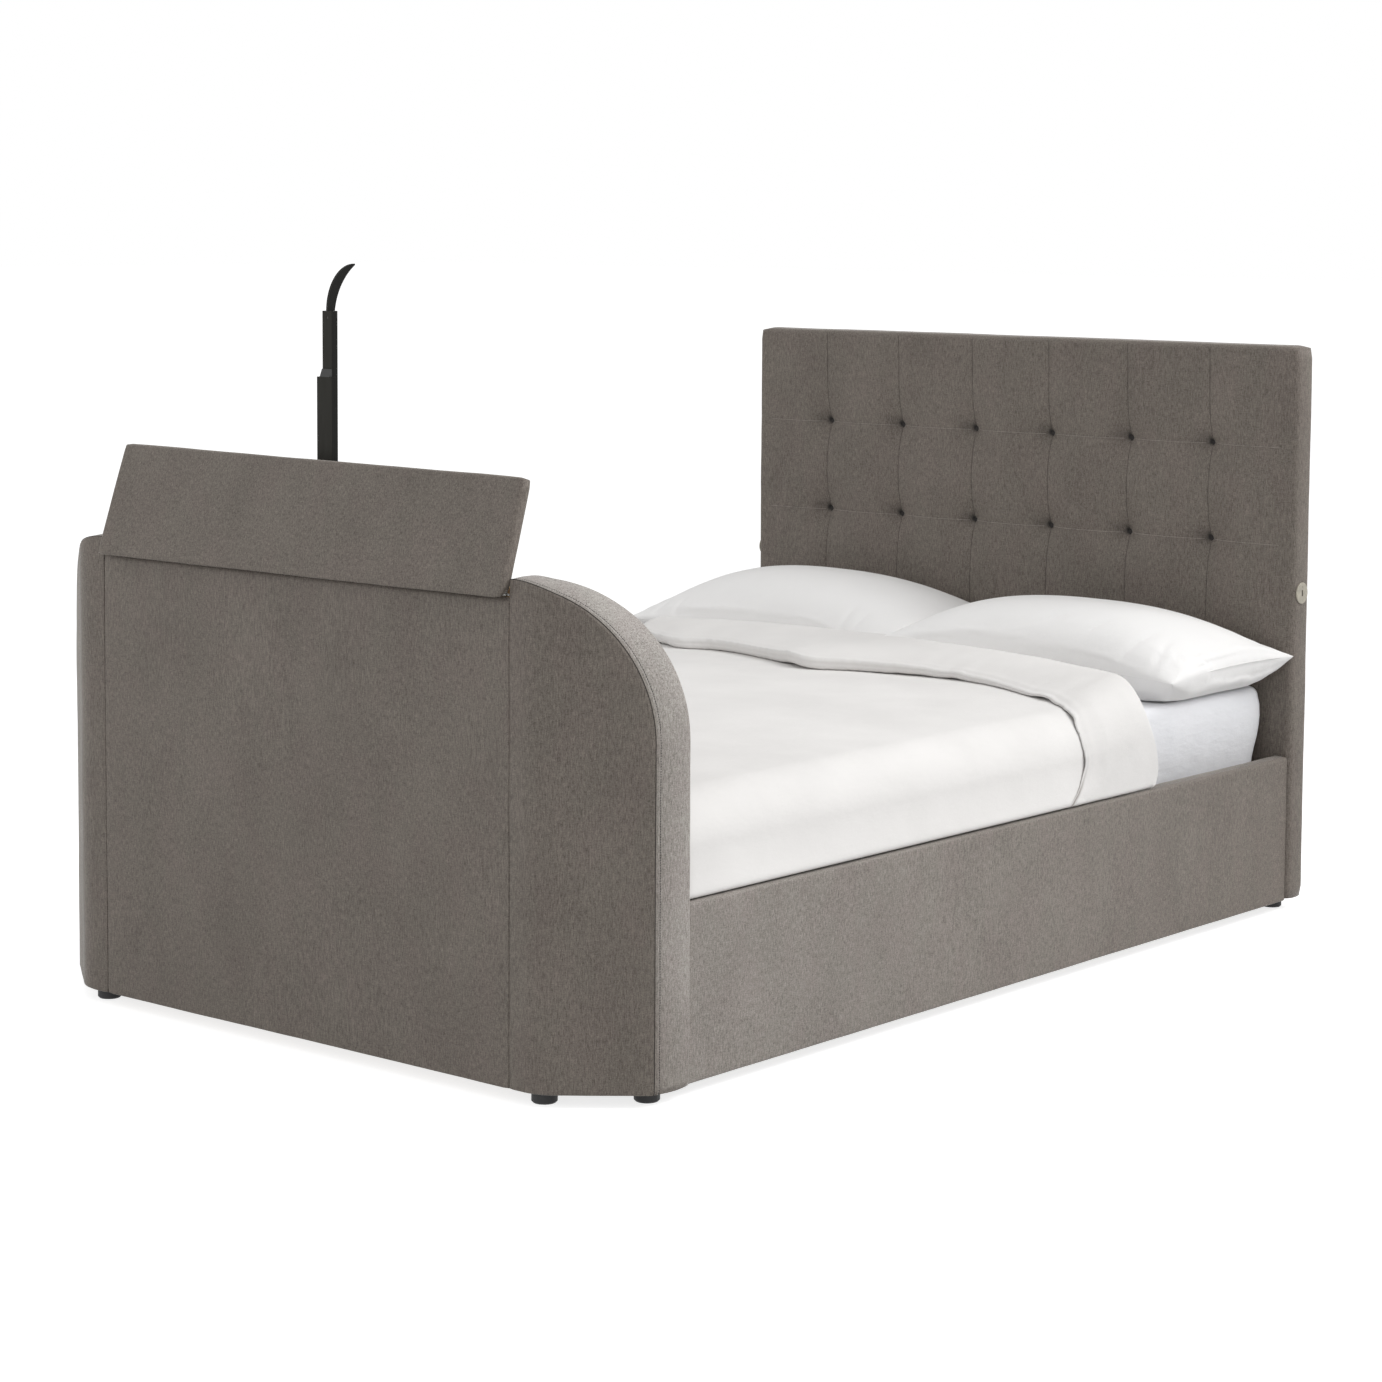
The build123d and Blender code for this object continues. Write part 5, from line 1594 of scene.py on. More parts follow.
@dataclass
class SideRails:
    """The padded side rails."""

    finishes: Finishes
    datum: Datum
    wing: Wing
    edge: float = 7.0

    def profile(self) -> Array:
        """The cover's outline across the rail, in millimetres, from its inner lip round to its underside.

        Returns:
            The outline's points.
        """
        outer, inner, top, low = 730.0, 697.0, 336.0, 22.0
        r = self.edge
        points = [(inner + 2.0, top - 58.0), (inner, top - 54.0), (inner, top - 12.0)]
        for a in np.linspace(math.pi, math.pi / 2, 5):
            points.append((inner + 3.0 + 3.0 * math.cos(a), top - 3.0 + 3.0 * math.sin(a)))
        for share in (0.3, 0.6):
            points.append((inner + 3.0 + (outer - inner - r - 3.0) * share, top + 0.3))
        for a in np.linspace(math.pi / 2, 0.0, 8):
            points.append((outer - r + r * math.cos(a), top - r + r * math.sin(a)))
        for z in np.linspace(top - r, low + 5.0, 26)[1:]:
            points.append((outer, z))
        for a in np.linspace(0.0, -math.pi / 2, 6)[1:]:
            points.append((outer - 5.0 + 5.0 * math.cos(a), low + 5.0 + 5.0 * math.sin(a)))
        points += [(outer - 14.0, low), (outer - 28.0, low), (outer - 29.0, low + 2.0)]
        return np.array(points)

    def rail(self, side: float, label: str) -> Piece:
        """Builds one rail's cover, cut off behind the wing at its foot end.

        Args:
            side: 1 for the right, -1 for the left.
            label: right or left.

        Returns:
            The piece.
        """
        line = self.profile()
        start = self.wing.face_line(line[:, 0], self.wing.thickness, self.wing.angles[0]) + 0.6
        shares = np.linspace(0.0, 1.0, 190)
        y = start[None] * (1.0 - shares[:, None]) - 0.2 * shares[:, None]
        x = np.broadcast_to(line[:, 0], y.shape)
        z = np.broadcast_to(line[:, 1], y.shape)
        points = xyz(x * MM * side, self.datum.front_y + y * MM, z * MM)
        shell = Shell()
        shell.grid(points)
        made = shell.build(f"side_rail_pad_{label}", self.finishes.cloth)
        ripple(made, 0.8 * MM, 0.2, 51.0 + side)
        ripple(made, 0.25 * MM, 0.05, 52.0)
        # Painted light: the rail's cloth is painted lighter toward the foot end, where more light falls on
        # it.
        share = np.clip((-100.0 - (coordinates(made)[:, 1] - self.datum.front_y) / MM) / 1900.0, 0.0, 1.0)
        paint(made, "nap", 0.46 * share)
        ride(made, "frame", "upholstery", f"side_rail_cover_{label}")
        return made

    def dress(self) -> list[Piece]:
        """Builds both rails."""
        return [self.rail(1.0, "right"), self.rail(-1.0, "left")]


@dataclass
class Mattress:
    """The mattress under its fitted sheet."""

    finishes: Finishes
    datum: Datum
    corner: float = 34.0 * MM
    edge: float = 15.0 * MM
    depths: tuple[float, ...] = (0.0, 20.0, 45.0, 75.0, 110.0, 150.0, 220.0)
    stands: tuple[float, ...] = (-5.0, 0.0, 4.0, 4.0, 0.0, -7.0, -10.0)

    def grid(self, low: Vector, high: Vector) -> Array:
        """The top's grid, with rounded corners, set in by the edge radius.

        Args:
            low: The mattress's low corner.
            high: Its high corner.

        Returns:
            The grid.
        """
        r = self.corner
        e = self.edge
        x0, x1, y0, y1 = low.x + e, high.x - e, low.y + e, high.y - e
        c = max(r - e, 4 * MM)
        corner = math.pi / 4

        def arc(cx: float, cy: float, a0: float, a1: float) -> Array:
            """Points on one rounded corner."""
            a = np.linspace(a0, a1, 6)
            return np.stack([cx + c * np.cos(a), cy + c * np.sin(a)], axis=1)

        west, east, south, north = x0 + c, x1 - c, y0 + c, y1 - c
        bottom = (arc(west, south, -3 * corner, -2 * corner), arc(east, south, -2 * corner, -corner))
        top = (arc(west, north, 3 * corner, 2 * corner), arc(east, north, 2 * corner, corner))
        left = (arc(west, south, -3 * corner, -4 * corner), arc(west, north, 4 * corner, 3 * corner))
        right = (arc(east, south, -corner, 0.0), arc(east, north, 0.0, corner))
        bottom, top, left, right = (np.concatenate(parts) for parts in (bottom, top, left, right))
        return coons(resample(bottom, 90), resample(top, 90), resample(left, 126), resample(right, 126))

    def dress(self) -> list[Piece]:
        """Builds the mattress.

        Returns:
            The piece.
        """
        low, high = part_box("mattress")
        high.y = self.datum.y(-7.0)

        def place(p: Array, d: Array) -> Array:
            """Lays the top flat, with its depth downward, and fills the sides out.

            Args:
                p: Points of the face.
                d: Their depths.

            Returns:
                The points in xyz.
            """
            full = self.fullness(d)
            x = p[..., 0] * (1.0 + full / high.x)
            head = np.clip((p[..., 1] - high.y + 0.2) / 0.2, 0.0, 1.0)
            return xyz(x, p[..., 1] + full * head, high.z - d)

        deep = high.z - low.z
        shell = slab(self.grid(low, high), edge_profile(deep, self.edge, self.edge, 0.0), place)
        made = shell.build("mattress_and_sheet", self.finishes.sheet)
        self.crumple(made, low, high)
        ride(made, "frame", "mattress_cloth", "mattress")
        return [made]

    def fullness(self, depth: Array) -> Array:
        """How far the sides stand out at each depth below the top."""
        return np.interp(depth / MM, self.depths, self.stands) * MM

    def crumple(self, made: Piece, low: Vector, high: Vector) -> None:
        """Draws soft upright folds into the sheet's sides, fading toward the top.

        Args:
            made: The piece.
            low: Its low corner.
            high: Its high corner.
        """
        for vertex in made.data.vertices:
            x, y, z = vertex.co
            side = min(1.0, max(0.0, (high.z - z) / (90 * MM)))
            run = y if abs(x) > high.x - 30 * MM else x
            wave = noise.noise(Vector((run * 21.0, z * 3.0, 4.0)))
            wave += 0.5 * noise.noise(Vector((run * 55.0, z * 6.0, 9.0)))
            pull = -1.8 * MM * side * (0.6 + wave)
            if abs(x) > high.x - 30 * MM:
                vertex.co.x += math.copysign(pull, x) if pull > 0 else -math.copysign(-pull, x)
            elif y > high.y - 30 * MM or y < low.y + 30 * MM:
                vertex.co.y += pull * (1.0 if y > 0 else -1.0)
        made.data.update()


@dataclass
class Duvet:
    """The duvet, spread to the foot and turned back below the pillows, measured in millimetres."""

    finishes: Finishes
    datum: Datum
    half: float = 715.0
    top: float = 513.5
    crown: float = 9.0
    shoulder: float = 92.0
    rest: float = 338.5
    roll: float = 9.0
    foot: float = -2009.0
    lips: tuple[Pair, ...] = (
        (-900.0, 20.0), (-420.0, 24.0), (0.0, 25.0), (242.0, 17.0), (400.0, 12.0), (540.0, 8.0),
        (700.0, 7.0), (900.0, 9.0),
    )
    nose: float = 46.0
    nose_line: tuple[Pair, ...] = (
        (-900.0, -430.0), (-760.0, -412.0), (-621.0, -396.0), (-515.0, -378.0), (-406.0, -372.0),
        (-294.0, -374.0), (-181.0, -384.0), (-65.0, -388.0), (60.0, -404.0), (200.0, -420.0),
        (344.0, -436.0), (474.0, -470.0), (581.0, -508.0), (652.0, -536.0), (708.0, -548.0),
        (743.0, -542.0), (783.0, -526.0), (828.0, -522.0), (866.0, -540.0), (920.0, -552.0),
    )
    hem_line: tuple[Pair, ...] = (
        (-900.0, -640.0), (-760.0, -566.0), (-660.0, -512.0), (-584.0, -529.0), (-515.0, -558.0),
        (-435.0, -543.0), (-355.0, -556.0), (-256.0, -596.0), (-150.0, -642.0), (-62.0, -678.0),
        (15.0, -634.0), (113.0, -602.0), (242.0, -584.0), (362.0, -602.0), (487.0, -654.0),
        (593.0, -702.0), (658.0, -749.0), (697.0, -769.0), (738.0, -775.0), (779.0, -777.0),
        (815.0, -800.0), (850.0, -838.0), (920.0, -866.0),
    )
    lifts: tuple[Triple, ...] = (
        (-640.0, 7.0, 40.0), (-104.0, 6.0, 46.0), (150.0, 2.0, 60.0), (262.0, 3.0, 22.0),
        (548.0, 5.0, 32.0), (672.0, 5.0, 20.0), (770.0, 5.0, 20.0), (850.0, 11.0, 26.0),
    )

    def curve(self, rise: float, count: int) -> Array:
        """The outline across the bed of a layer that lies a rise above the duvet's top.

        Args:
            rise: How far the layer lies above the duvet, or below it if negative.
            count: Number of points.

        Returns:
            Points from the left rail over the top to the right rail.
        """
        right = self.side(rise, self.shoulder + max(0.0, rise) * 0.5)
        left = self.side(rise, self.shoulder - max(0.0, rise) * 1.1)
        fewer = count // 2
        mirrored = resample(left, fewer + 1)[:0:-1] * np.array([-1.0, 1.0])
        return np.concatenate([mirrored, resample(right, count - fewer)])

    def side(self, rise: float, shoulder: float) -> Array:
        """One half of the outline, from the middle of the bed down to the rail.

        Args:
            rise: How far the layer lies above the duvet.
            shoulder: Radius over the side.

        Returns:
            The half's points.
        """
        half = self.half + 12.0 * min(1.0, max(-1.2, rise / 24.0))
        top = self.top + rise
        crown = self.crown + max(0.0, rise) * 0.06
        line: list[Pair] = []
        for x in np.linspace(0.0, half - shoulder, 40):
            line.append((x, top + crown * (1.0 - (x / (half - shoulder)) ** 2)))
        for a in np.linspace(math.pi / 2, 0.0, 26)[1:]:
            line.append((half - shoulder + shoulder * math.cos(a), top - shoulder + shoulder * math.sin(a)))
        low = self.rest + self.roll
        for z in np.linspace(top - shoulder, low, 14)[1:]:
            share = (top - shoulder - z) / (top - shoulder - low)
            line.append((half + (727.0 - half) * share**1.5, z))
        for a in np.linspace(0.0, -math.pi / 2, 9)[1:]:
            line.append((727.0 - self.roll + self.roll * math.cos(a), low + self.roll * math.sin(a)))
        return np.array(line)

    def smooth_line(self, points: tuple[Pair, ...], at: Array) -> Array:
        """Values of a smooth curve through pairs of a place and a value.

        Args:
            points: The pairs.
            at: Places to read the curve at.

        Returns:
            The values there.
        """
        xs = np.array([p[0] for p in points])
        ys = np.array([p[1] for p in points])
        slopes = np.gradient(ys, xs)
        k = np.clip(np.searchsorted(xs, at) - 1, 0, len(xs) - 2)
        h = xs[k + 1] - xs[k]
        t = np.clip((at - xs[k]) / h, 0.0, 1.0)
        return (
            (2 * t**3 - 3 * t**2 + 1) * ys[k]
            + (t**3 - 2 * t**2 + t) * h * slopes[k]
            + (-2 * t**3 + 3 * t**2) * ys[k + 1]
            + (t**3 - t**2) * h * slopes[k + 1]
        )

    @staticmethod
    def runs(line: Array) -> Array:
        """The distance of each point along a line from the line's middle.

        Args:
            line: The line.

        Returns:
            The distances.
        """
        steps = np.linalg.norm(np.diff(line, axis=0), axis=1)
        run = np.concatenate([[0.0], np.cumsum(steps)])
        return run - run[-1] / 2

    def spread(self) -> Piece:
        """Builds the part that lies flat, from under the fold down to the foot.

        Returns:
            The piece.
        """
        count = 300
        line = self.curve(0.0, count)
        start = self.smooth_line(self.nose_line, self.runs(line)) - 26.0
        shares = np.concatenate([np.linspace(0.0, 1.0, 180), np.full(7, 1.0)])
        rows = []
        for i, share in enumerate(shares):
            drop = max(0, i - 179) / 7.0
            ease = 1.0 - math.cos(drop * math.pi / 2)
            y = start * (1.0 - share) + (self.foot + 30.0) * share - 30.0 * math.sin(drop * math.pi / 2)
            x = line[:, 0] * (1.0 - 0.012 * ease)
            z = line[:, 1] - ease * np.clip(line[:, 1] - self.rest, 0.0, 30.0)
            rows.append(np.stack([x, y, z], axis=1))
        points = np.stack(rows) * MM
        points[..., 1] += self.datum.front_y
        shell = Shell()
        shell.grid(points)
        made = shell.build("duvet_spread", self.finishes.bedding)
        reshape(made, self.undulate(coordinates(made), 4.0 * MM, 61.0))
        ride(made, "frame", "bedding_cloth", "duvet")
        return made

    def undulate(self, points: Array, height: float, seed: float) -> Array:
        """Gives a layer its soft hollows, quiet along the rails so that it still rests on them.

        Args:
            points: The layer's points.
            height: Height of a hollow.
            seed: Shifts the noise.

        Returns:
            The moved points.
        """
        moved = points.copy()
        for i, (x, y, z) in enumerate(points):
            calm = min(1.0, max(0.0, (z - self.rest * MM) / (60 * MM)))
            broad = noise.noise(Vector((x / 0.46 + seed, y / 0.34, z / 0.5)))
            middle = noise.noise(Vector((x / 0.19, y / 0.15 + seed, z / 0.2)))
            fine = noise.noise(Vector((x / 0.075, y / 0.06, z / 0.07 + seed)))
            move = height * (broad + 0.34 * middle + 0.09 * fine) * (0.12 + 0.88 * calm)
            side = min(1.0, max(0.0, (abs(x) - 620 * MM) / (90 * MM)))
            moved[i, 0] += math.copysign(move * side * 0.7, x)
            moved[i, 2] += move * (1.0 - side)
        return moved

    def crevice(self, made: Piece, line: Array) -> None:
        """Shades the cloth close to the line where the hem meets the duvet, most of all toward the rails.

        Args:
            made: The piece.
            line: Where the hem meets the duvet.
        """
        tree = KDTree(len(line))
        for i, point in enumerate(line):
            tree.insert(point, i)
        tree.balance()
        found = [tree.find(point) for point in coordinates(made)]
        gap = np.array([distance for _, _, distance in found]) / MM
        strength = 0.3 + 0.5 * np.clip((line[[index for _, index, _ in found], 0] - 0.5) / 0.15, 0.0, 1.0)
        paint(made, "shade", strength * np.exp(-((gap / 3.2) ** 2)))

    def fold(self) -> tuple[Piece, Array]:
        """Builds the turned-back end, with its thick rounded roll and its sewn hem.

        Returns:
            The piece and the line where its hem meets the duvet.
        """
        count = 520
        run = self.runs(self.curve(0.0, count))
        aside = np.clip((np.abs(run) - 560.0) / 120.0, 0.0, 1.0)
        fine = np.array([noise.noise(Vector((r * 0.036, 1.0, 2.0))) for r in run])
        tight = np.array([noise.noise(Vector((r * 0.085, 7.0, 2.0))) for r in run])
        hem = self.smooth_line(self.hem_line, run) + 3.0 * fine + 2.2 * tight * (0.3 + 0.7 * aside)
        head = self.smooth_line(self.nose_line, run) - 4.0 - 4.0 * aside + 2.0 * fine
        lip = np.interp(run, [at for at, _ in self.lips], [thick for _, thick in self.lips])
        lift = sum(h * np.exp(-(((run - at) / wide) ** 2)) for at, h, wide in self.lifts)
        heights = np.linspace(-40.0, 60.0, 51)
        stack = np.stack([self.curve(h, count) for h in heights])

        def layer(rise: Array, y: Array) -> Array:
            """Points at their own rises above the duvet.

            Args:
                rise: A rise for each point.
                y: Places along the bed.

            Returns:
                The points.
            """
            at = np.clip((rise + 40.0) / 2.0, 0.0, 49.999)
            k = at.astype(int)
            t = (at - k)[:, None]
            pair = stack[k, np.arange(count)] * (1 - t) + stack[k + 1, np.arange(count)] * t
            return np.stack([pair[:, 0], y, pair[:, 1]], axis=1)

        rows = []
        roll = 30.0 - 17.0 * aside
        for a in np.linspace(-math.pi / 2, math.pi / 2, 19):
            rise = 11.0 + (self.nose - 11.0) * math.sin(a) if a > 0 else 11.0 + 36.0 * math.sin(a)
            rows.append(layer(np.full(count, rise), head + roll * math.cos(a)))
        bend = 9.0
        for share in np.linspace(0.0, 1.0, 60)[1:-1]:
            y = head * (1 - share) + (hem + bend) * share
            fall = share**1.35
            swell = 2.5 * math.sin(math.pi * share) + 1.2 * math.exp(-(((share - 0.93) / 0.05) ** 2))
            rise = self.nose * (1 - fall) + lip * fall + swell + lift * fall * 0.8
            rows.append(layer(rise, y))
        middle = 0.5 + lip / 2 + lift
        radius = lip / 2 * (1.0 + 0.10 * tight)
        for a in np.linspace(math.pi / 2, -math.pi / 2, 17):
            dent = 1.5 * np.exp(-((a / 0.22) ** 2))
            rows.append(layer(middle + radius * math.sin(a), hem + bend - bend * math.cos(a) + dent))
        for back in (10.0, 22.0, 40.0):
            rows.append(layer(0.6 + lift * (1.0 - back / 60.0), hem + bend + back))
        points = np.stack(rows) * MM
        points[..., 1] += self.datum.front_y
        shell = Shell()
        shell.grid(points)
        made = shell.build("duvet_fold", self.finishes.bedding)
        reshape(made, self.undulate(coordinates(made), 4.0 * MM, 61.0))
        ripple(made, 0.8 * MM, 0.05, 73.0)
        ride(made, "frame", "bedding_cloth", "duvet")
        return made, self.undulate(points[-5], 4.0 * MM, 61.0)

    def dress(self) -> list[Piece]:
        """Builds the duvet's two parts.

        Returns:
            The pieces.
        """
        spread = self.spread()
        fold, line = self.fold()
        for made in (spread, fold):
            self.crevice(made, line)
        return [spread, fold]


@dataclass(frozen=True)
class PillowLie:
    """How a pillow lies on the bed, in millimetres."""

    label: str
    middle: Pair
    size: Triple
    seam: float
    tilt: Pair
    yaw: float = 0.0
    lifted: float = 0.0
    belly: float = 55.0
    corners: tuple[tuple[float, float, Triple], ...] = ()
    seed: float = 1.0
    dents: tuple[tuple[float, float, float, float, float, float], ...] = ()

    def surface(self, u: Array, v: Array, upper: bool) -> Array:
        """Points of one side of the pillow.

        Args:
            u: Place along it, from -1 at its left end to 1.
            v: Place across it, from -1 at its front to 1.
            upper: Whether the points are on its upper side.

        Returns:
            The points.
        """
        length, deep, rise = self.size
        x = length / 2 * u * (1.0 - 0.035 * (1.0 - v**2) * u**2)
        y = deep / 2 * v * (1.0 - 0.10 * (1.0 - u**2) * v**2)
        z = self.seam + self.tilt[0] * u + self.tilt[1] * v + self.lifted * ((1.0 - u) / 2) ** 4
        if upper:
            full = (1.0 - np.abs(u) ** 2.4) ** 0.62 * (1.0 - np.abs(v) ** 2.3) ** 0.55
            z = z + rise * full
            for u0, v0, angle, long, wide, deep_by in self.dents:
                du, dv = (u - u0) * length / 2, (v - v0) * deep / 2
                c, s = math.cos(math.radians(angle)), math.sin(math.radians(angle))
                along, across = du * c + dv * s, dv * c - du * s
                z = z - deep_by * np.exp(-((along / long) ** 2) - (across / wide) ** 2) * full**0.5
        else:
            full = (1.0 - np.abs(u) ** 6) ** 0.5 * (1.0 - np.abs(v) ** 4) ** 0.5
            thin = 1.0 - 0.8 * (self.lifted > 0.0) * np.clip((-0.35 - u) / 0.5, 0.0, 1.0)
            z = z - self.belly * full * thin
        c, s = math.cos(math.radians(self.yaw)), math.sin(math.radians(self.yaw))
        points = xyz(self.middle[0] + x * c - y * s, self.middle[1] + x * s + y * c, z)
        for end, way, move in self.corners:
            weight = ((1.0 + end * u) / 2) ** 5 * ((1.0 + way * v) / 2) ** 5
            points = points + weight[..., None] * np.array(move)
        return points


@dataclass
class Pillows:
    """Two pillows, filled out by cloth simulation and laid against each other."""

    finishes: Finishes
    datum: Datum
    frames: int = 16
    cap: float = 3.5 * MM
    left: PillowLie = PillowLie(
        "left",
        (-386.0, -206.0),
        (772.0, 402.4, 109.0),
        566.6,
        (-7.8, 17.8),
        yaw=1.2,
        corners=((-1.0, -1.0, (-8.0, -22.0, -5.0)),),
        seed=1.0,
        dents=(
            (-0.83, -0.86, 75.0, 26.0, 7.0, 5.0),
            (-0.70, -0.88, 85.0, 24.0, 6.0, 4.0),
            (0.50, -0.86, 80.0, 34.0, 7.0, 5.0),
            (0.60, -0.84, 70.0, 36.0, 7.0, 5.0),
        ),
    )
    right: PillowLie = PillowLie(
        "right",
        (333.2, -209.2),
        (774.1, 410.3, 117.0),
        548.5,
        (4.8, 4.6),
        yaw=-0.2,
        lifted=28.5,
        belly=95.0,
        corners=((1.0, -1.0, (-21.4, -8.6, -11.6)), (1.0, 1.0, (20.5, 0.2, -0.9))),
        seed=2.0,
        dents=(
            (0.02, -0.62, 40.0, 60.0, 17.0, 4.0),
            (0.30, -0.72, 55.0, 55.0, 14.0, 4.5),
            (0.62, -0.78, 70.0, 60.0, 13.0, 6.0),
            (0.80, -0.74, 105.0, 55.0, 12.0, 6.0),
        ),
    )

    def case(self, lie: PillowLie) -> Piece:
        """Sews a pillow's two sides together along its seam.

        Args:
            lie: How the pillow lies.

        Returns:
            The piece.
        """
        across = np.sin(np.linspace(-1.0, 1.0, 148) * 1.30) / math.sin(1.30)
        deep = np.sin(np.linspace(-1.0, 1.0, 86) * 1.30) / math.sin(1.30)
        u, v = np.meshgrid(across, deep, indexing="ij")
        shell = Shell()
        for upper in (True, False):
            points = lie.surface(u, v, upper) * MM
            points[..., 1] += self.datum.front_y
            points[..., 2] = self.soften(points[..., 2])
            shell.grid(points)
        return shell.build(f"pillow_{lie.label}_case", self.finishes.pillow, 0.05 * MM)

    def soften(self, z: Array) -> Array:
        """Flattens heights where the pillow rests on the mattress.

        Args:
            z: The heights.

        Returns:
            The heights, none below the mattress.
        """
        floor = self.datum.mattress_top + 1.0 * MM
        soft = 6.0 * MM
        gap = z - floor
        return floor + np.where(gap > soft, gap, soft * np.exp(np.minimum(gap - soft, 0.0) / soft))

    def inflate(self, made: Piece) -> None:
        """Lets the cloth fill out and crease, by no more than the cap.

        Args:
            made: The pillow's case.
        """
        before = coordinates(made)
        cloth = made.modifiers.new("air", "CLOTH")
        settings = cloth.settings
        settings.quality = 5
        settings.mass = 0.25
        settings.tension_stiffness = 20.0
        settings.compression_stiffness = 20.0
        settings.shear_stiffness = 8.0
        settings.bending_stiffness = 0.25
        settings.air_damping = 4.0
        settings.shrink_min = -0.035
        settings.use_pressure = True
        settings.uniform_pressure_force = 4.0
        settings.effector_weights.gravity = 0.0
        cloth.point_cache.frame_start = 1
        cloth.point_cache.frame_end = self.frames
        scene = bpy.context.scene
        for frame in range(1, self.frames + 1):
            scene.frame_set(frame)
        apply_modifiers(made)
        scene.frame_set(1)
        move = coordinates(made) - before
        size = np.linalg.norm(move, axis=1, keepdims=True)
        reshape(made, before + move * self.cap / (self.cap + size))

    def pucker(self, made: Piece, lie: PillowLie) -> None:
        """Draws short creases into the cloth beside the seam.

        Args:
            made: The pillow's case.
            lie: How the pillow lies.
        """
        points = coordinates(made)
        normals = np.array([n.vector for n in made.data.vertex_normals])
        rim = self.rim(lie, 260)
        gap = np.full(len(points), 1.0)
        where = np.zeros(len(points))
        batch = 4000
        for start in range(0, len(points), batch):
            part = slice(start, start + batch)
            far = np.linalg.norm(points[part, None] - rim[None], axis=2)
            gap[part] = far.min(axis=1)
            where[part] = far.argmin(axis=1)
        wave = np.array([noise.noise(Vector((w * 0.33, lie.seed * 5.0, 1.0))) for w in where])
        drawn = 1.6 * MM * wave * np.exp(-gap / (22 * MM)) * np.clip(gap / (4 * MM), 0.0, 1.0)
        points += normals * drawn[:, None]
        reshape(made, points)

    def rim(self, lie: PillowLie, count: int) -> Array:
        """The seam's closed line.

        Args:
            lie: How the pillow lies.
            count: Number of points.

        Returns:
            The line.
        """
        side = np.linspace(-1.0, 1.0, 60)
        one = np.ones(60)
        u = np.concatenate([side, one, -side, -one])
        v = np.concatenate([-one, side, one, -side])
        points = lie.surface(u, v, True) * MM
        points[:, 1] += self.datum.front_y
        points[:, 2] = self.soften(points[:, 2])
        return resample(points, count)

    def seam(self, lie: PillowLie) -> Piece:
        """Builds the fine corded seam round a pillow."""
        made = tube(self.rim(lie, 420), 1.0 * MM, 6).build(f"pillow_{lie.label}_seam", self.finishes.pillow)
        return ride(made, "frame", "bedding_cloth")

    def nestle(self, under: Piece, over: Piece) -> None:
        """Presses one pillow down where the other lies on it, and lifts the other's underside onto it.

        Args:
            under: The lower pillow.
            over: The upper pillow.
        """
        low = BVHTree.FromObject(over, bpy.context.evaluated_depsgraph_get())
        points = coordinates(under)
        for point in points:
            hit = low.ray_cast(Vector((point[0], point[1], 2.0)), Vector((0.0, 0.0, -1.0)))[0]
            if hit is not None:
                point[2] = min(point[2], hit.z - 9.0 * MM)
        reshape(under, points)
        bpy.context.view_layer.update()
        high = BVHTree.FromObject(under, bpy.context.evaluated_depsgraph_get())
        points = coordinates(over)
        normals = np.array([n.vector for n in over.data.vertex_normals])
        for point, normal in zip(points, normals):
            hit = high.ray_cast(Vector((point[0], point[1], 2.0)), Vector((0.0, 0.0, -1.0)))[0]
            if hit is not None and normal[2] < 0.0:
                point[2] = max(point[2], hit.z + 0.5 * MM)
        reshape(over, points)

    def dress(self) -> list[Piece]:
        """Builds both pillows and their seams.

        Returns:
            The pieces.
        """
        pair = []
        for lie in (self.left, self.right):
            made = self.case(lie)
            self.inflate(made)
            self.pucker(made, lie)
            pair.append(made)
        self.nestle(pair[0], pair[1])
        for made, lie in zip(pair, (self.left, self.right)):
            subdivide(made, 1)
            ride(made, "frame", "bedding_cloth", f"pillow_{lie.label}")
        return pair + [self.seam(self.left), self.seam(self.right)]


def coordinates(made: Piece) -> Array:
    """An object's points as an array.

    Args:
        made: The object.

    Returns:
        A row of xyz for each point.
    """
    points = np.empty(len(made.data.vertices) * 3)
    made.data.vertices.foreach_get("co", points)
    return points.reshape(-1, 3)


def reshape(made: Piece, points: Array) -> None:
    """Moves an object's points to an array's places."""
    made.data.vertices.foreach_set("co", points.ravel())
    made.data.update()


def paint(made: Piece, name: str, values: Array) -> None:
    """Stores a value for each point, which the cloth's material reads by its name."""
    made.data.attributes.new(name, "FLOAT", "POINT").data.foreach_set("value", values.astype(np.float32))


def apply_modifiers(made: Piece) -> None:
    """Replaces an object's mesh by what its modifiers make of it.

    Args:
        made: The object.
    """
    graph = bpy.context.evaluated_depsgraph_get()
    result = bpy.data.meshes.new_from_object(made.evaluated_get(graph))
    made.modifiers.clear()
    old = made.data
    made.data = result
    bpy.data.meshes.remove(old)


def subdivide(made: Piece, levels: int) -> None:
    """Applies a subdivision surface.

    Args:
        made: The object.
        levels: How many times each face is split.
    """
    modifier = made.modifiers.new("smooth", "SUBSURF")
    modifier.levels = levels
    modifier.render_levels = levels
    apply_modifiers(made)
    made.data.shade_smooth()


@dataclass(frozen=True)
class Lamp:
    """A soft rectangular lamp that the camera can't see, with a grid that narrows its beam."""

    name: str
    where: Triple
    aim: Triple
    size: Pair
    power: float
    spread: float

    def hang(self) -> None:
        """Adds the lamp to the scene, turned toward what it lights."""
        data = bpy.data.lights.new(self.name, "AREA")
        data.shape = "RECTANGLE"
        data.size, data.size_y = self.size
        data.energy = self.power
        data.spread = math.radians(self.spread)
        made = bpy.data.objects.new(self.name, data)
        made.location = self.where
        toward = Vector(self.aim) - Vector(self.where)
        made.rotation_euler = toward.to_track_quat("-Z", "Y").to_euler()
        made.visible_camera = False
        bpy.context.scene.collection.objects.link(made)


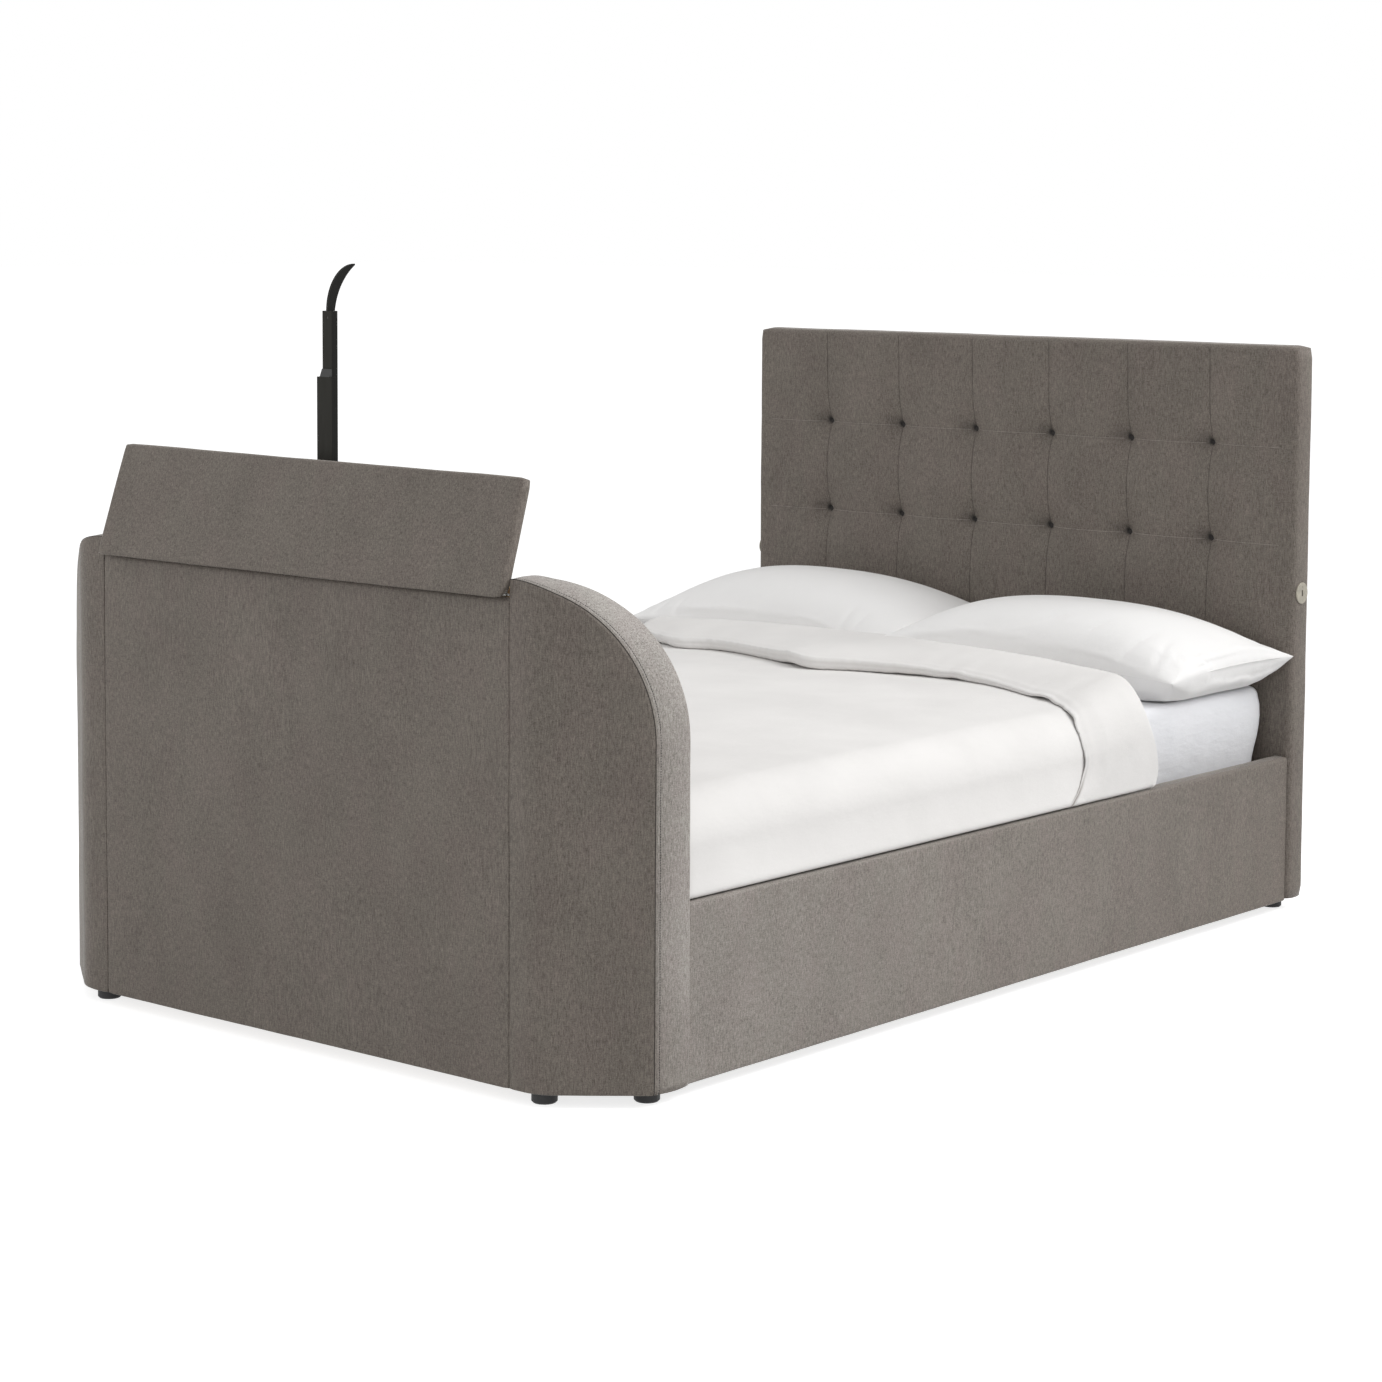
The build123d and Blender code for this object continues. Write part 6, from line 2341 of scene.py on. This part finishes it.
@dataclass
class Studio:
    """The pale floor, the soft lamps and the camera."""

    datum: Datum
    lens_pixels: float = 3296.143
    image: float = 1382.0
    axis_v: float = 500.0
    azimuth: float = 40.023
    pitch: float = 5.041
    roll: float = 0.334
    eye: Triple = (4260.157, -6204.693, 1504.27)
    floor_tones: Pair = (0.57, 0.59)
    floor_glow: float = 0.78
    floor_reach: float = 60.0
    surround: float = 0.6
    key: Lamp = Lamp("key_lamp", (4.6, 2.2, 5.4), (0.5, -1.4, 0.3), (4.6, 4.6), 84.0, 80.0)
    fill: Lamp = Lamp("fill_lamp", (-2.9, -6.6, 2.6), (0.0, 0.0, 0.6), (5.0, 3.6), 47.0, 150.0)

    def camera(self) -> None:
        """Places the camera where the photograph was taken."""
        data = bpy.data.cameras.new("camera")
        data.sensor_fit = "HORIZONTAL"
        data.sensor_width = 36.0
        data.lens = 36.0 * self.lens_pixels / self.image
        data.shift_y = -(self.image / 2 - self.axis_v) / self.image
        data.clip_end = 100.0
        az, pitch, roll = (math.radians(v) for v in (self.azimuth, self.pitch, self.roll))
        forward = Vector((-math.sin(az) * math.cos(pitch), math.cos(az) * math.cos(pitch), -math.sin(pitch)))
        right = Vector((math.cos(az), math.sin(az), 0.0))
        up = right.cross(forward)
        turned = right * math.cos(roll) + up * math.sin(roll)
        upright = -right * math.sin(roll) + up * math.cos(roll)
        matrix = Matrix((turned, upright, -forward)).transposed().to_4x4()
        matrix.translation = Vector((self.eye[0] * MM, self.datum.y(self.eye[1]), self.eye[2] * MM))
        made = bpy.data.objects.new("camera", data)
        made.matrix_world = matrix
        bpy.context.scene.collection.objects.link(made)
        bpy.context.scene.camera = made

    def floor(self) -> None:
        """Lays a wide pale floor that the camera sees as white, with the bed's shadow on it."""
        g = Graph("studio_floor")
        path = g.node("LightPath")
        seen = g.math("MAXIMUM", path.outputs["Is Camera Ray"], path.outputs["Is Glossy Ray"])
        seen = g.math("MAXIMUM", seen, path.outputs["Is Transmission Ray"])
        cloud = g.speckle(g.place(), 0.7, 2.0, 0.5)
        share = g.stretch(cloud, 0.3, 0.7, 0.0, 1.0)
        colour = g.mix(share, *((tone, tone, tone, 1.0) for tone in self.floor_tones))
        base = g.node("BsdfDiffuse", color=colour)
        level = g.math("MULTIPLY", seen, self.floor_glow)
        glow = g.node("Emission", color=(1.0, 1.0, 1.0, 1.0), strength=level)
        both = g.node("AddShader", in0=base.outputs[0], in1=glow.outputs[0])
        material = g.finish(both)
        shell = Shell()
        xs = np.linspace(-self.floor_reach, self.floor_reach, 9)
        x, y = np.meshgrid(xs, xs, indexing="ij")
        shell.grid(xyz(x, y, np.zeros_like(x)))
        shell.build("studio_floor", material)

    def world(self) -> None:
        """Sets a white surround with a low, even light."""
        world = bpy.data.worlds.new("studio")
        world.use_nodes = True
        tree = world.node_tree
        tree.nodes.clear()
        output = tree.nodes.new("ShaderNodeOutputWorld")
        path = tree.nodes.new("ShaderNodeLightPath")
        seen = path.outputs["Is Camera Ray"]
        for ray in ("Is Glossy Ray", "Is Transmission Ray"):
            either = tree.nodes.new("ShaderNodeMath")
            either.operation = "MAXIMUM"
            tree.links.new(seen, either.inputs[0])
            tree.links.new(path.outputs[ray], either.inputs[1])
            seen = either.outputs[0]
        mix = tree.nodes.new("ShaderNodeMixShader")
        tree.links.new(seen, mix.inputs[0])
        for place, strength in ((1, self.surround), (2, 1.0)):
            light = tree.nodes.new("ShaderNodeBackground")
            light.inputs["Color"].default_value = (1.0, 1.0, 1.0, 1.0)
            light.inputs["Strength"].default_value = strength
            tree.links.new(light.outputs[0], mix.inputs[place])
        tree.links.new(mix.outputs[0], output.inputs[0])
        bpy.context.scene.world = world

    def dress(self) -> None:
        """Builds the whole studio."""
        self.camera()
        self.floor()
        self.world()
        self.key.hang()
        self.fill.hang()
        bpy.context.scene.view_settings.view_transform = "Standard"


def dress_nodes(frame: dict, finishes: Finishes) -> None:
    """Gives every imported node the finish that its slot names.

    Args:
        finishes: The built finishes.
    """
    slots = {part["node"]: part["material_slot"] for part in frame["record"]["subparts"]}
    for name, made in frame["nodes"].items():
        material = finishes.by_slot[slots[name]]
        made.data.materials.clear()
        made.data.materials.append(material)
    LOG.info("dressed %d packed nodes", len(frame["nodes"]))


def main() -> None:
    """Builds the dressed bed."""
    logging.basicConfig(level=logging.INFO, format="%(message)s")
    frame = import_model()
    finishes = Finishes()
    datum = Datum.read()
    Studio(datum).dress()
    dress_nodes(frame, finishes)
    wing = Wing(finishes, datum)
    groups = [
        Headboard(finishes, datum),
        wing,
        FootPanels(finishes, datum),
        Lid(finishes, datum),
        SideRails(finishes, datum, wing),
        Mattress(finishes, datum),
        Duvet(finishes, datum),
        Pillows(finishes, datum),
    ]
    for group in groups:
        for made in group.dress():
            LOG.info("%s: %d faces", made.name, len(made.data.polygons))


if __name__ == "__main__":
    main()
